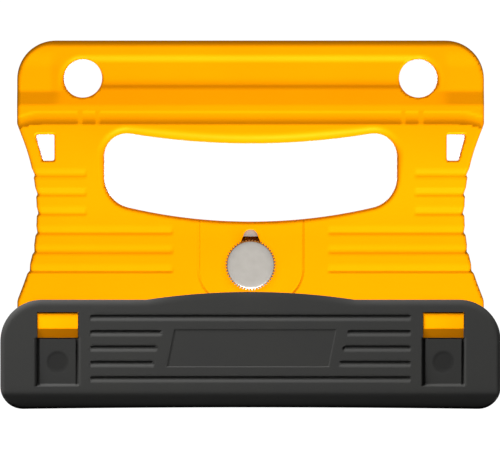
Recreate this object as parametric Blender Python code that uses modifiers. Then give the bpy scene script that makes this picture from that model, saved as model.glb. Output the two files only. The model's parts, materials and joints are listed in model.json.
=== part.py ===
"""Wide razor scraper: a two-shell handle, a clamped sliding blade and a push-on blade cover.

The tool lies on its back. X is its width, +Y points to the grip and +Z out of the front face.
The origin is the middle of its footprint, on the surface that it lies on.
"""

import math

import bmesh
import bpy
from mathutils import Matrix, Vector

MM = 0.001

# Directions in degrees, anticlockwise from +X
RIGHT, UP, LEFT, DOWN, ROUND = 0.0, 90.0, 180.0, 270.0, 360.0

# Flats on round shapes
OUTLINE_STEPS = 8
CORNER_STEPS = 4
ROUND_STEPS = 32
BORE_STEPS = 20
PILOT_STEPS = 12
RELIEF_STEPS = 12

# Clearances between neighbouring pieces
FIT_GAP = 0.3 * MM
HOLE_GAP = 0.2 * MM
RUN_GAP = 0.4 * MM

# Handle outline
BODY_WIDTH = 179.4 * MM
GRIP_BAR = 32.0 * MM
GRIP_CORNER = 14.8 * MM
LIP_HEIGHT = 7.5 * MM
SHOULDER_RADIUS = 2.0 * MM
WAIST_IN = 13.0 * MM
WAIST_RADIUS = 77.5 * MM
FLARE_TUCK = 0.3 * MM
FLARE_RADIUS = 6.0 * MM
HOUSING_CORNER = 4.0 * MM
RIM_ROUND = 1.2 * MM

# Finger opening, with a lip that bows down and a sill that dips
OPENING_WIDTH = 112.8 * MM
OPENING_HEIGHT = 30.1 * MM
LIP_BOW_RADIUS = 285.0 * MM
LIP_CORNER = 8.2 * MM
SILL_BOW_RADIUS = 207.0 * MM
SILL_CORNER = 12.0 * MM
SILL_WALL = 2.6 * MM

# Hanging holes and lanyard slots
HANG_SPACING = 129.0 * MM
HANG_DROP = 14.5 * MM
HANG_DIAMETER = 14.9 * MM
LANYARD_INSET = 6.9 * MM
LANYARD_TOP_WIDTH = 7.5 * MM
LANYARD_FOOT_WIDTH = 4.7 * MM
LANYARD_HEIGHT = 10.2 * MM
LANYARD_DROP = 4.0 * MM
LANYARD_CORNER = 0.8 * MM

# Front relief of the grip and the web
GRIP_THICK = 15.5 * MM
GRIP_TOP_ROUND = 2.8 * MM
CHANNEL_TOP = 5.2 * MM
CHANNEL_HEIGHT = 13.6 * MM
CHANNEL_DEPTH = 1.5 * MM
CHANNEL_FLATNESS = 2.2
CHANNEL_LEAN = 0.7
RIDGE_DROP = 24.2 * MM
RIDGE_RISE = 1.2 * MM
RIDGE_SLOPE = 5.4 * MM
VALLEY_DEPTH = 0.6 * MM
WEB_THICK = 17.5 * MM
WEB_TAPER_LENGTH = 44.6 * MM
VALLEY_RIB_WIDTH = 2.5 * MM
VALLEY_RIB_INNER = 59.0 * MM
VALLEY_RIB_PITCH = 6.4 * MM
VALLEY_RIB_LENGTH = 4.6 * MM
VALLEY_RIB_ROOT = 2.4 * MM

# Side grip grooves: three short ones above three long ones
GROOVE_PITCH = 7.36 * MM
GROOVE_FIRST = 12.5 * MM
GROOVE_RUN = 2.6 * MM
GROOVE_STEP = 1.0 * MM
GROOVE_DEPTH = 0.6 * MM
GROOVE_SHORT_FROM = 62.9 * MM
GROOVE_LONG_FROM = 29.6 * MM
GROOVES_OF_EACH = 3

# Centre panel
PANEL_WIDTH = 40.6 * MM
PANEL_BELOW_KNOB = 14.4 * MM
PANEL_CORNER = 12.8 * MM
PANEL_DEPTH = 0.4 * MM

# Thickness of the layers, from the back of the cover to its front
COVER_BACK_WALL = 2.0 * MM
HOUSING_BACK_WALL = 3.1 * MM
BLADE_THICK = 0.8 * MM
CARRIAGE_THICK = 1.2 * MM
GUIDE_THICK = 1.0 * MM
HOUSING_FRONT_WALL = 3.6 * MM
COVER_FRONT_WALL = 2.5 * MM
PARTING_ABOVE_CAVITY = 2.4 * MM

# Blade, carriage and clamp
BLADE_WIDTH = 170.0 * MM
BLADE_HEIGHT = 25.0 * MM
BLADE_BEVEL = 3.5 * MM
BLADE_EDGE_THICK = 0.1 * MM
BLADE_REACH = 7.5 * MM
BLADE_STUD_INSET = 13.0 * MM
BLADE_STUD_FROM_TOP = 6.0 * MM
BLADE_STUD_DIAMETER = 5.0 * MM
BLADE_STUD_HEAD = 8.0 * MM
BLADE_STUD_HEAD_THICK = 1.0 * MM
TRAVEL = 8.0 * MM
CARRIAGE_WIDTH = 136.0 * MM
CARRIAGE_BAR = 14.0 * MM
CARRIAGE_LAP = 10.0 * MM
CARRIAGE_CORNER = 2.0 * MM
TONGUE_WIDTH = 25.0 * MM
TONGUE_END = 5.6 * MM
KNOB_ABOVE_COVER = 13.4 * MM
STUD_DIAMETER = 5.0 * MM
STUD_IN_KNOB = 3.5 * MM
NUT_FLATS = 8.0 * MM
NUT_SIDES = 6
NUT_THICK = 3.4 * MM
WASHER_DIAMETER = 12.0 * MM
WASHER_THICK = 1.0 * MM
KNOB_DIAMETER = 19.2 * MM
KNOB_THICK = 6.0 * MM
KNOB_CHAMFER = 0.6 * MM
KNURL_TEETH = 78
KNURL_DEPTH = 0.45 * MM
SLOT_WIDTH = 5.5 * MM
SLOT_ABOVE_TRAVEL = 2.8 * MM
GUIDE_BELOW_KNOB = 11.0 * MM
GUIDE_WAY_SIDE = 0.9 * MM
GUIDE_WAY_CORNER = 0.8 * MM
GUIDE_SCREW_SPACING = 17.0 * MM
GUIDE_SCREW_BELOW_KNOB = 7.6 * MM
GUIDE_SCREW_SHANK = 2.2 * MM
GUIDE_SCREW_HEAD = 4.0 * MM
GUIDE_SCREW_LENGTH = 3.4 * MM

# Screws that hold the two shells together, driven from the back
SHELL_SCREW_SHANK = 3.3 * MM
SHELL_SCREW_HEAD = 6.4 * MM
SHELL_SCREW_HEAD_THICK = 2.0 * MM
SHELL_SCREW_LENGTH = 9.0 * MM
SHELL_SCREW_SINK = 0.4 * MM
GRIP_SCREW_SPACING = 84.0 * MM
GRIP_SCREW_DROP = 15.0 * MM
SIDE_SCREW_SPACING = 132.0 * MM
SIDE_SCREW_DROP = 4.1 * MM
BRIDGE_SCREW_SPACING = 70.0 * MM

# Hollow of the grip, shared by both shells
HOLLOW_WIDTH = 68.0 * MM
HOLLOW_HEIGHT = 19.0 * MM
HOLLOW_DROP = 15.0 * MM
HOLLOW_CORNER = 3.0 * MM
GRIP_WALL = 3.0 * MM

# Blade cover
COVER_HEIGHT = 41.6 * MM
COVER_END_WALL = 6.1 * MM
COVER_FLOOR = 3.0 * MM
COVER_TOP_CORNER = 15.5 * MM
COVER_FOOT_CORNER = 7.5 * MM
COVER_RIM_ROUND = 2.2 * MM
COVER_HUMP_RISE = 3.0 * MM
COVER_HUMP_WIDTH = 80.0 * MM
COVER_FOOT_SLOPE = 5.4 * MM
COVER_FOOT_CUT = 3.4 * MM
BLADE_EDGE_CLEAR = 2.6 * MM
LINE_COUNT = 5
LINE_PITCH = 5.9 * MM
LINE_FIRST = 6.7 * MM
LINE_HEIGHT = 2.0 * MM
LINE_DEPTH = 0.5 * MM
LINE_END_ROUND = 0.9
LINES_WIDTH = 123.4 * MM
FIELD_WIDTH = 71.4 * MM
FIELD_SLANT = 0.26

# Latch windows, finger pockets and latch tongues
WINDOW_CENTRE = 74.1 * MM
WINDOW_WIDTH = 16.2 * MM
WINDOW_BELOW_TOP = 4.9 * MM
WINDOW_HEIGHT = 9.7 * MM
POCKET_HEIGHT = 18.7 * MM
POCKET_DEPTH = 1.2 * MM
DIMPLE_DIAMETER = 8.2 * MM
DIMPLE_DEPTH = 0.3 * MM
LATCH_SIDE_GAP = 0.3 * MM
LATCH_THICK = 2.0 * MM
LATCH_CATCH = 0.8 * MM
LATCH_FLAT = 5.9 * MM
LATCH_RAMP = 3.4 * MM
LATCH_ROOT = 4.6 * MM

# Heights, from the foot of the cover up, moved so that the origin is the middle
SILL_Y_FROM_FOOT = (
    COVER_HEIGHT + KNOB_ABOVE_COVER + TONGUE_END + TRAVEL + RUN_GAP + SILL_WALL
)
TOTAL_HEIGHT = SILL_Y_FROM_FOOT + OPENING_HEIGHT + LIP_HEIGHT + GRIP_BAR
FOOT_Y = -TOTAL_HEIGHT / 2
TOP_Y = TOTAL_HEIGHT / 2
COVER_TOP_Y = FOOT_Y + COVER_HEIGHT
KNOB_Y = COVER_TOP_Y + KNOB_ABOVE_COVER
SILL_Y = FOOT_Y + SILL_Y_FROM_FOOT
LIP_Y = SILL_Y + OPENING_HEIGHT
WEB_TOP_Y = LIP_Y + LIP_HEIGHT
BLADE_EDGE_Y = FOOT_Y + COVER_FLOOR + BLADE_EDGE_CLEAR
HOUSING_FOOT_Y = BLADE_EDGE_Y + BLADE_REACH
BLADE_TOP_Y = BLADE_EDGE_Y + BLADE_HEIGHT
CARRIAGE_BAR_FOOT_Y = BLADE_TOP_Y - CARRIAGE_LAP
CARRIAGE_BAR_TOP_Y = CARRIAGE_BAR_FOOT_Y + CARRIAGE_BAR
SHOULDER_Y = WEB_TOP_Y
FLARE_Y = COVER_TOP_Y - FLARE_TUCK
WAIST_Y = (SHOULDER_Y + FLARE_Y) / 2

# Layers along Z
HOUSING_BACK_Z = COVER_BACK_WALL + FIT_GAP
CAVITY_BACK_Z = HOUSING_BACK_Z + HOUSING_BACK_WALL
BLADE_Z = CAVITY_BACK_Z + FIT_GAP
CARRIAGE_Z = BLADE_Z + BLADE_THICK + FIT_GAP
GUIDE_Z = CARRIAGE_Z + CARRIAGE_THICK + FIT_GAP
CAVITY_FRONT_Z = GUIDE_Z + GUIDE_THICK + FIT_GAP
HOUSING_FRONT_Z = CAVITY_FRONT_Z + HOUSING_FRONT_WALL
COVER_INNER_Z = HOUSING_FRONT_Z + FIT_GAP
COVER_FRONT_Z = COVER_INNER_Z + COVER_FRONT_WALL
PARTING_Z = CAVITY_BACK_Z + PARTING_ABOVE_CAVITY
PANEL_Z = HOUSING_FRONT_Z - PANEL_DEPTH
WASHER_Z = PANEL_Z + FIT_GAP
KNOB_Z = WASHER_Z + WASHER_THICK + FIT_GAP
NUT_Z = CARRIAGE_Z - HOLE_GAP - NUT_THICK
BEYOND = 3.0 * MM

# Halves along X; the cover clears the housing and the blade, whichever is wider
BODY_HALF = BODY_WIDTH / 2
CAVITY_HALF = BLADE_WIDTH / 2 + RUN_GAP
COVER_INNER_HALF = max(BODY_HALF + RUN_GAP, CAVITY_HALF)
COVER_HALF = COVER_INNER_HALF + COVER_END_WALL

parts = None
cutters = None


def clear_scene():
    """Remove what the start-up file holds and make the two collections."""
    global parts, cutters
    for obj in list(bpy.data.objects):
        bpy.data.objects.remove(obj, do_unlink=True)
    parts = bpy.data.collections.new("razor_scraper")
    cutters = bpy.data.collections.new("cutters")
    for collection in (parts, cutters):
        bpy.context.scene.collection.children.link(collection)


def material(name, colour, roughness, metallic=0.0):
    """A plain Principled material."""
    made = bpy.data.materials.new(name)
    made.use_nodes = True
    shader = made.node_tree.nodes["Principled BSDF"]
    shader.inputs["Base Color"].default_value = (*colour, 1.0)
    shader.inputs["Roughness"].default_value = roughness
    shader.inputs["Metallic"].default_value = metallic
    return made


def arc(centre, radius, start, end, steps):
    """Points on an arc, from one angle in degrees to another."""
    points = []
    for i in range(steps + 1):
        angle = math.radians(start + (end - start) * i / steps)
        points.append((centre[0] + radius * math.cos(angle), centre[1] + radius * math.sin(angle)))
    return points


def rounded(corners, steps=CORNER_STEPS):
    """A closed outline through (x, y, radius) corners, each turned into a tangent arc."""
    outline = []
    for i, (x, y, radius) in enumerate(corners):
        here = Vector((x, y))
        back = (Vector(corners[i - 1][:2]) - here).normalized()
        ahead = (Vector(corners[(i + 1) % len(corners)][:2]) - here).normalized()
        if radius == 0:
            outline.append((x, y))
            continue
        half = back.angle(ahead) / 2
        middle = here + (back + ahead).normalized() * radius / math.sin(half)
        first = here + back * radius / math.tan(half) - middle
        last = here + ahead * radius / math.tan(half) - middle
        turn = math.atan2(first.x * last.y - first.y * last.x, first.dot(last))
        for k in range(steps + 1):
            spoke = Matrix.Rotation(turn * k / steps, 2) @ first
            outline.append(tuple(middle + spoke))
    return outline


def rectangle(x0, x1, y0, y1, radius=0.0):
    """A rectangle's outline with equal corner radii."""
    return rounded([(x0, y0, radius), (x1, y0, radius), (x1, y1, radius), (x0, y1, radius)])


def slot(x, y0, y1, width):
    """An upright slot's outline, round at both ends, between two end centres."""
    foot = arc((x, y0), width / 2, LEFT, ROUND, PILOT_STEPS)
    return foot + arc((x, y1), width / 2, RIGHT, LEFT, PILOT_STEPS)


def circle(x, y, diameter, steps=BORE_STEPS):
    """A round hole's outline."""
    return arc((x, y), diameter / 2, RIGHT, ROUND, steps)[:-1]


def mirrored(outline):
    """The same outline on the other side of the tool."""
    return [(-x, y) for x, y in reversed(outline)]


def keep(obj, collection):
    """Put an object in one collection, out of sight if it is a cutter."""
    collection.objects.link(obj)
    if collection is cutters:
        obj.hide_render = True
        obj.display_type = "WIRE"
    return obj


def baked(obj, name, collection):
    """A mesh object with the evaluated shape of another one, which is removed."""
    bpy.context.view_layer.update()
    graph = bpy.context.evaluated_depsgraph_get()
    mesh = bpy.data.meshes.new_from_object(obj.evaluated_get(graph))
    place = obj.matrix_world.copy()
    bpy.data.objects.remove(obj, do_unlink=True)
    shape = bmesh.new()
    shape.from_mesh(mesh)
    bmesh.ops.remove_doubles(shape, verts=shape.verts, dist=0.001 * MM)
    bmesh.ops.transform(shape, matrix=place, verts=shape.verts)
    bmesh.ops.recalc_face_normals(shape, faces=shape.faces)
    shape.to_mesh(mesh)
    shape.free()
    mesh.name = name
    return keep(bpy.data.objects.new(name, mesh), collection)


def plate(name, outlines, z0, z1, collection=None, rim=0.0):
    """A flat outline, with holes after the first loop, given a thickness along Z."""
    curve = bpy.data.curves.new(name, "CURVE")
    curve.dimensions = "2D"
    curve.fill_mode = "BOTH"
    curve.extrude = (z1 - z0) / 2 - rim
    if rim:
        curve.bevel_depth = rim
        curve.bevel_resolution = 2
        curve.offset = -rim
    for outline in outlines:
        spline = curve.splines.new("POLY")
        spline.points.add(len(outline) - 1)
        for point, (x, y) in zip(spline.points, outline):
            point.co = (x, y, 0.0, 1.0)
        spline.use_cyclic_u = True
    flat = bpy.data.objects.new(name, curve)
    flat.location.z = (z0 + z1) / 2
    bpy.context.scene.collection.objects.link(flat)
    return baked(flat, name, collection or cutters)


def bar(name, profile, x0, x1, collection=None):
    """A (Y, Z) profile drawn out along X."""
    solid = plate(name, [profile], x0, x1, collection)
    along_x = Matrix(((0, 0, 1, 0), (1, 0, 0, 0), (0, 1, 0, 0), (0, 0, 0, 1)))
    solid.data.transform(along_x)
    return solid


def turned(name, profile, steps, collection=None, ring=False):
    """A (radius, Z) profile, listed down its outer side, turned about Z."""
    mesh = bpy.data.meshes.new(name)
    count = len(profile)
    edges = [(i, i + 1) for i in range(count - 1)]
    if ring:
        edges.append((count - 1, 0))
    mesh.from_pydata([(radius, 0.0, z) for radius, z in profile], edges, [])
    lathe = bpy.data.objects.new(name, mesh)
    bpy.context.scene.collection.objects.link(lathe)
    screw = lathe.modifiers.new("turn", "SCREW")
    screw.steps = steps
    screw.render_steps = steps
    screw.use_merge_vertices = True
    screw.merge_threshold = 0.001 * MM
    return baked(lathe, name, collection or cutters)


def join(obj, tools, operation="DIFFERENCE"):
    """Cut an object with tools, or join them to it, in their order."""
    for tool in tools:
        step = obj.modifiers.new(tool.name, "BOOLEAN")
        step.operation = operation
        step.solver = "EXACT"
        step.object = tool
    return obj


def finish(obj, made, origin=(0.0, 0.0, 0.0)):
    """Give a piece its material, its origin and smooth shading on round faces."""
    offset = Vector(origin)
    obj.data.transform(Matrix.Translation(-offset))
    obj.location = offset
    obj.data.materials.clear()
    obj.data.materials.append(made)
    obj.data.shade_smooth()
    obj.data.set_sharp_from_angle(angle=math.radians(35))
    return obj


def handle_outline():
    """The handle seen from the front: grip, waisted sides and the housing below."""
    right = [
        (BODY_HALF, HOUSING_FOOT_Y, HOUSING_CORNER),
        (BODY_HALF, FLARE_Y, FLARE_RADIUS),
        (BODY_HALF - WAIST_IN, WAIST_Y, WAIST_RADIUS),
        (BODY_HALF, SHOULDER_Y, SHOULDER_RADIUS),
        (BODY_HALF, TOP_Y, GRIP_CORNER),
    ]
    left = [(-x, y, radius) for x, y, radius in reversed(right)]
    return rounded(right + left, OUTLINE_STEPS)


def opening_outline():
    """The finger opening: its corners are tangent to the walls and to the bowed edges."""
    half = OPENING_WIDTH / 2
    lip_centre = LIP_Y + LIP_BOW_RADIUS
    lip_x = half - LIP_CORNER
    lip_reach = LIP_BOW_RADIUS + LIP_CORNER
    lip_corner_y = lip_centre - math.sqrt(lip_reach**2 - lip_x**2)
    lip_lean = math.degrees(math.asin(lip_x / lip_reach))
    sill_centre = SILL_Y + SILL_BOW_RADIUS
    sill_x = half - SILL_CORNER
    sill_reach = SILL_BOW_RADIUS - SILL_CORNER
    sill_corner_y = sill_centre - math.sqrt(sill_reach**2 - sill_x**2)
    sill_lean = math.degrees(math.asin(sill_x / sill_reach))
    right = arc((0, sill_centre), SILL_BOW_RADIUS, DOWN, DOWN + sill_lean, OUTLINE_STEPS)
    right += arc((sill_x, sill_corner_y), SILL_CORNER, DOWN + sill_lean, ROUND, OUTLINE_STEPS)[1:]
    right += arc((lip_x, lip_corner_y), LIP_CORNER, RIGHT, UP + lip_lean, OUTLINE_STEPS)
    right += arc((0, lip_centre), LIP_BOW_RADIUS, DOWN + lip_lean, DOWN, OUTLINE_STEPS)[1:]
    return right + mirrored(right)[1:-1]


def lanyard_outline():
    """The right lanyard slot, whose outer side follows the shoulder."""
    top = SHOULDER_Y - LANYARD_DROP
    foot = top - LANYARD_HEIGHT
    outer = BODY_HALF - LANYARD_INSET
    inner = outer - LANYARD_TOP_WIDTH
    corners = [
        (inner, foot, LANYARD_CORNER),
        (inner + LANYARD_FOOT_WIDTH, foot, LANYARD_CORNER),
        (outer, top, LANYARD_CORNER),
        (inner, top, LANYARD_CORNER),
    ]
    return rounded(corners)


def web_height(y):
    """Front height of the web, which tapers from the grip down to the housing."""
    share = (WEB_TOP_Y - y) / WEB_TAPER_LENGTH
    share = min(max(share, 0.0), 1.0)
    return HOUSING_FRONT_Z + (WEB_THICK - HOUSING_FRONT_Z) * (1 + math.cos(math.pi * share)) / 2


def body_profile():
    """Side section of the whole handle, with the step that the cover's back wall fills."""
    ridge_y = TOP_Y - RIDGE_DROP
    ridge_z = GRIP_THICK + RIDGE_RISE
    step_y = COVER_TOP_Y + FIT_GAP
    below = HOUSING_FOOT_Y - BEYOND
    front = [(below, HOUSING_FRONT_Z)]
    for i in range(RELIEF_STEPS + 1):
        y = WEB_TOP_Y - WEB_TAPER_LENGTH * (1 - i / RELIEF_STEPS)
        front.append((y, web_height(y)))
    valley = ridge_y - WEB_TOP_Y
    for i in range(1, CORNER_STEPS):
        share = i / CORNER_STEPS
        line = WEB_THICK + (ridge_z - WEB_THICK) * share
        front.append((WEB_TOP_Y + valley * share, line - VALLEY_DEPTH * math.sin(math.pi * share)))
    front.append((ridge_y, ridge_z))
    front.append((ridge_y + RIDGE_SLOPE, GRIP_THICK))
    round_y = TOP_Y - GRIP_TOP_ROUND
    crown = arc((round_y, GRIP_THICK - GRIP_TOP_ROUND), GRIP_TOP_ROUND, UP, RIGHT, CORNER_STEPS)
    crown += arc((round_y, GRIP_TOP_ROUND), GRIP_TOP_ROUND, RIGHT, -UP, CORNER_STEPS)
    back = [(step_y, 0.0), (step_y, HOUSING_BACK_Z), (below, HOUSING_BACK_Z)]
    return front + crown + back


def groove_bars(front):
    """Sawtooth cutters for the side grip: a gentle run down to a step that faces the grip."""
    made = []
    for i in range(2 * GROOVES_OF_EACH):
        y = SILL_Y + OPENING_HEIGHT - GROOVE_FIRST - i * GROOVE_PITCH
        start = GROOVE_LONG_FROM if front and i >= GROOVES_OF_EACH else GROOVE_SHORT_FROM
        top_y = y + GROOVE_RUN
        foot_y = y - GROOVE_STEP
        surface = web_height if front else (lambda _: 0.0)
        into = -GROOVE_DEPTH if front else GROOVE_DEPTH
        out = BEYOND if front else -BEYOND
        section = [
            (top_y, surface(top_y)),
            (y, surface(y) + into),
            (foot_y, surface(foot_y)),
            (foot_y, surface(foot_y) + out),
            (top_y, surface(top_y) + out),
        ]
        side = "front" if front else "back"
        made.append(bar(f"groove_{side}_right_{i}", section, start, BODY_HALF + BEYOND))
        made.append(bar(f"groove_{side}_left_{i}", section, -BODY_HALF - BEYOND, -start))
    return made


def cavity_outline():
    """The blade chamber, open at the foot, with the carriage's channel above it."""
    top = KNOB_Y + TONGUE_END + TRAVEL + RUN_GAP
    channel = TONGUE_WIDTH / 2 + RUN_GAP
    roof = CARRIAGE_BAR_TOP_Y + TRAVEL + RUN_GAP
    right = [
        (CAVITY_HALF, HOUSING_FOOT_Y - BEYOND, 0),
        (CAVITY_HALF, roof, CARRIAGE_CORNER),
        (channel, roof, CARRIAGE_CORNER),
        (channel, top, CARRIAGE_CORNER),
    ]
    return rounded(right + [(-x, y, radius) for x, y, radius in reversed(right)])


def shell_screw_places():
    """Three pairs of screws: in the grip, beside the opening and beside the clamp."""
    pairs = [
        (GRIP_SCREW_SPACING / 2, TOP_Y - GRIP_SCREW_DROP),
        (SIDE_SCREW_SPACING / 2, LIP_Y - SIDE_SCREW_DROP),
        (BRIDGE_SCREW_SPACING / 2, KNOB_Y),
    ]
    return [(side * x, y) for x, y in pairs for side in (-1, 1)]


def make_shells(yellow):
    """The two half shells, split at the parting plane from one rounded body."""
    hang_y = TOP_Y - HANG_DROP
    hang = circle(HANG_SPACING / 2, hang_y, HANG_DIAMETER, ROUND_STEPS)
    lanyard = lanyard_outline()
    holes = [opening_outline(), hang, mirrored(hang), lanyard, mirrored(lanyard)]
    tall = WEB_THICK + BEYOND
    blank = plate("blank", [handle_outline(), *holes], -BEYOND, tall, parts)
    join(blank, [bar("section", body_profile(), -BODY_HALF - BEYOND, BODY_HALF + BEYOND)], "INTERSECT")
    rim = blank.modifiers.new("rim", "BEVEL")
    rim.width = RIM_ROUND
    rim.segments = 2
    rim.limit_method = "ANGLE"
    rim.angle_limit = math.radians(60)
    blank = baked(blank, "blank", cutters)

    screws = shell_screw_places()
    wide = BODY_HALF + BEYOND
    high = TOP_Y + BEYOND
    low = HOUSING_FOOT_Y - BEYOND
    hollow_y = TOP_Y - HOLLOW_DROP
    hollow_half = HOLLOW_WIDTH / 2
    hollow_foot = hollow_y - HOLLOW_HEIGHT / 2
    hollow_top = hollow_y + HOLLOW_HEIGHT / 2
    hollow = rectangle(-hollow_half, hollow_half, hollow_foot, hollow_top, HOLLOW_CORNER)

    front = keep(bpy.data.objects.new("front_shell", blank.data.copy()), parts)
    half = plate("front_half", [rectangle(-wide, wide, low, high)], PARTING_Z, tall)
    join(front, [half], "INTERSECT")
    tools = front_shell_cutters(hollow)
    for i, (x, y) in enumerate(screws):
        pilot = circle(x, y, SHELL_SCREW_SHANK + 2 * HOLE_GAP, PILOT_STEPS)
        tip = SHELL_SCREW_SINK + SHELL_SCREW_LENGTH + RUN_GAP
        tools.append(plate(f"pilot_{i}", [pilot], PARTING_Z - BEYOND, tip))
    join(front, tools)
    join(front, valley_ribs(), "UNION")

    rear = keep(bpy.data.objects.new("rear_shell", blank.data.copy()), parts)
    half = plate("rear_half", [rectangle(-wide, wide, low, high)], -BEYOND, PARTING_Z - FIT_GAP)
    join(rear, [half], "INTERSECT")
    tools = rear_shell_cutters(hollow)
    for i, (x, y) in enumerate(screws):
        bore = circle(x, y, SHELL_SCREW_SHANK + 2 * HOLE_GAP, PILOT_STEPS)
        sink = circle(x, y, SHELL_SCREW_HEAD + 2 * FIT_GAP)
        depth = SHELL_SCREW_SINK + SHELL_SCREW_HEAD_THICK + FIT_GAP
        tools.append(plate(f"bore_{i}", [bore], -BEYOND, tall))
        tools.append(plate(f"sink_{i}", [sink], -BEYOND, depth))
    join(rear, tools)
    finish(front, yellow)
    finish(rear, yellow)


def front_shell_cutters(hollow):
    """Thumb channel, grooves, panel, slot, chamber and latch notches of the front shell."""
    channel_top = TOP_Y - CHANNEL_TOP
    channel_end = HANG_SPACING / 2
    dip = []
    for i in range(RELIEF_STEPS + 1):
        share = i / RELIEF_STEPS
        drop = CHANNEL_DEPTH * min(1.0, CHANNEL_FLATNESS * math.sin(math.pi * share**CHANNEL_LEAN))
        dip.append((channel_top - CHANNEL_HEIGHT * share, GRIP_THICK - drop))
    above = GRIP_THICK + BEYOND
    channel = dip + [(channel_top - CHANNEL_HEIGHT, above), (channel_top, above)]
    panel_foot = KNOB_Y - PANEL_BELOW_KNOB
    half = PANEL_WIDTH / 2
    panel_top = SILL_Y + SILL_WALL
    panel_corners = [(-half, panel_foot, PANEL_CORNER), (half, panel_foot, PANEL_CORNER)]
    panel_corners += [(half, panel_top, 0), (-half, panel_top, 0)]
    panel = rounded(panel_corners, OUTLINE_STEPS)
    slot_top = KNOB_Y + TRAVEL + SLOT_ABOVE_TRAVEL
    tall = WEB_THICK + BEYOND
    tools = [
        bar("thumb_channel", channel, -channel_end, channel_end),
        plate("panel", [panel], PANEL_Z, tall),
        plate("clamp_slot", [slot(0, KNOB_Y - FIT_GAP, slot_top, SLOT_WIDTH)], PARTING_Z, tall),
        plate("front_chamber", [cavity_outline()], PARTING_Z - BEYOND, CAVITY_FRONT_Z),
        plate("front_hollow", [hollow], PARTING_Z - BEYOND, GRIP_THICK - CHANNEL_DEPTH - GRIP_WALL),
    ]
    tools += groove_bars(True)
    for side in (-1, 1):
        x0, x1, y0, y1 = latch_box(side)
        notch = rectangle(x0 - FIT_GAP, x1 + FIT_GAP, y0 - FIT_GAP, y1 + FIT_GAP)
        tools.append(plate(f"latch_notch_{side}", [notch], PARTING_Z, tall))
    for side in (-1, 1):
        x = side * GUIDE_SCREW_SPACING / 2
        y = KNOB_Y - GUIDE_SCREW_BELOW_KNOB
        pilot = circle(x, y, GUIDE_SCREW_SHANK + 2 * HOLE_GAP, PILOT_STEPS)
        deep = GUIDE_Z + GUIDE_SCREW_LENGTH + RUN_GAP
        tools.append(plate(f"guide_pilot_{side}", [pilot], PARTING_Z, deep))
    return tools


def rear_shell_cutters(hollow):
    """Chamber, nut channel, grip hollow and grooves of the rear shell."""
    nut_half = NUT_FLATS / math.sqrt(3) + RUN_GAP
    nut_way = rectangle(-nut_half, nut_half, KNOB_Y - nut_half, KNOB_Y + TRAVEL + nut_half, RUN_GAP)
    tools = [
        plate("rear_chamber", [cavity_outline()], CAVITY_BACK_Z, PARTING_Z + BEYOND),
        plate("nut_way", [nut_way], NUT_Z - RUN_GAP, PARTING_Z),
        plate("rear_hollow", [hollow], GRIP_WALL, PARTING_Z + BEYOND),
    ]
    return tools + groove_bars(False)


def valley_ribs():
    """Two small ribs at each end of the finger valley under the ridge."""
    made = []
    for side in (-1, 1):
        for i in range(2):
            x = side * (VALLEY_RIB_INNER + i * VALLEY_RIB_PITCH)
            half = VALLEY_RIB_WIDTH / 2
            foot = WEB_TOP_Y - VALLEY_RIB_ROOT
            outline = rectangle(x - half, x + half, foot, WEB_TOP_Y + VALLEY_RIB_LENGTH)
            low, high = GRIP_THICK - RIDGE_RISE, GRIP_THICK + RIDGE_RISE
            made.append(plate(f"valley_rib_{side}_{i}", [outline], low, high))
    return made


def latch_box(side):
    """X and Y limits of a latch tongue."""
    half = WINDOW_WIDTH / 2 - LATCH_SIDE_GAP
    top = COVER_TOP_Y - WINDOW_BELOW_TOP - LATCH_SIDE_GAP
    root = top - LATCH_FLAT - LATCH_RAMP - LATCH_ROOT
    middle = side * WINDOW_CENTRE
    return middle - half, middle + half, root, top


def make_latches(yellow):
    """The two sprung tongues whose lugs stand in the cover's windows."""
    for side, name in ((-1, "latch_left"), (1, "latch_right")):
        x0, x1, root, top = latch_box(side)
        back = HOUSING_FRONT_Z - LATCH_THICK
        catch = COVER_INNER_Z + LATCH_CATCH
        section = [
            (root, back),
            (top, back),
            (top, catch),
            (top - LATCH_FLAT, catch),
            (top - LATCH_FLAT - LATCH_RAMP, HOUSING_FRONT_Z - FIT_GAP),
            (root, HOUSING_FRONT_Z - FIT_GAP),
        ]
        tongue = bar(name, section, x0, x1, parts)
        finish(tongue, yellow, ((x0 + x1) / 2, root, (back + HOUSING_FRONT_Z) / 2))


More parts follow.
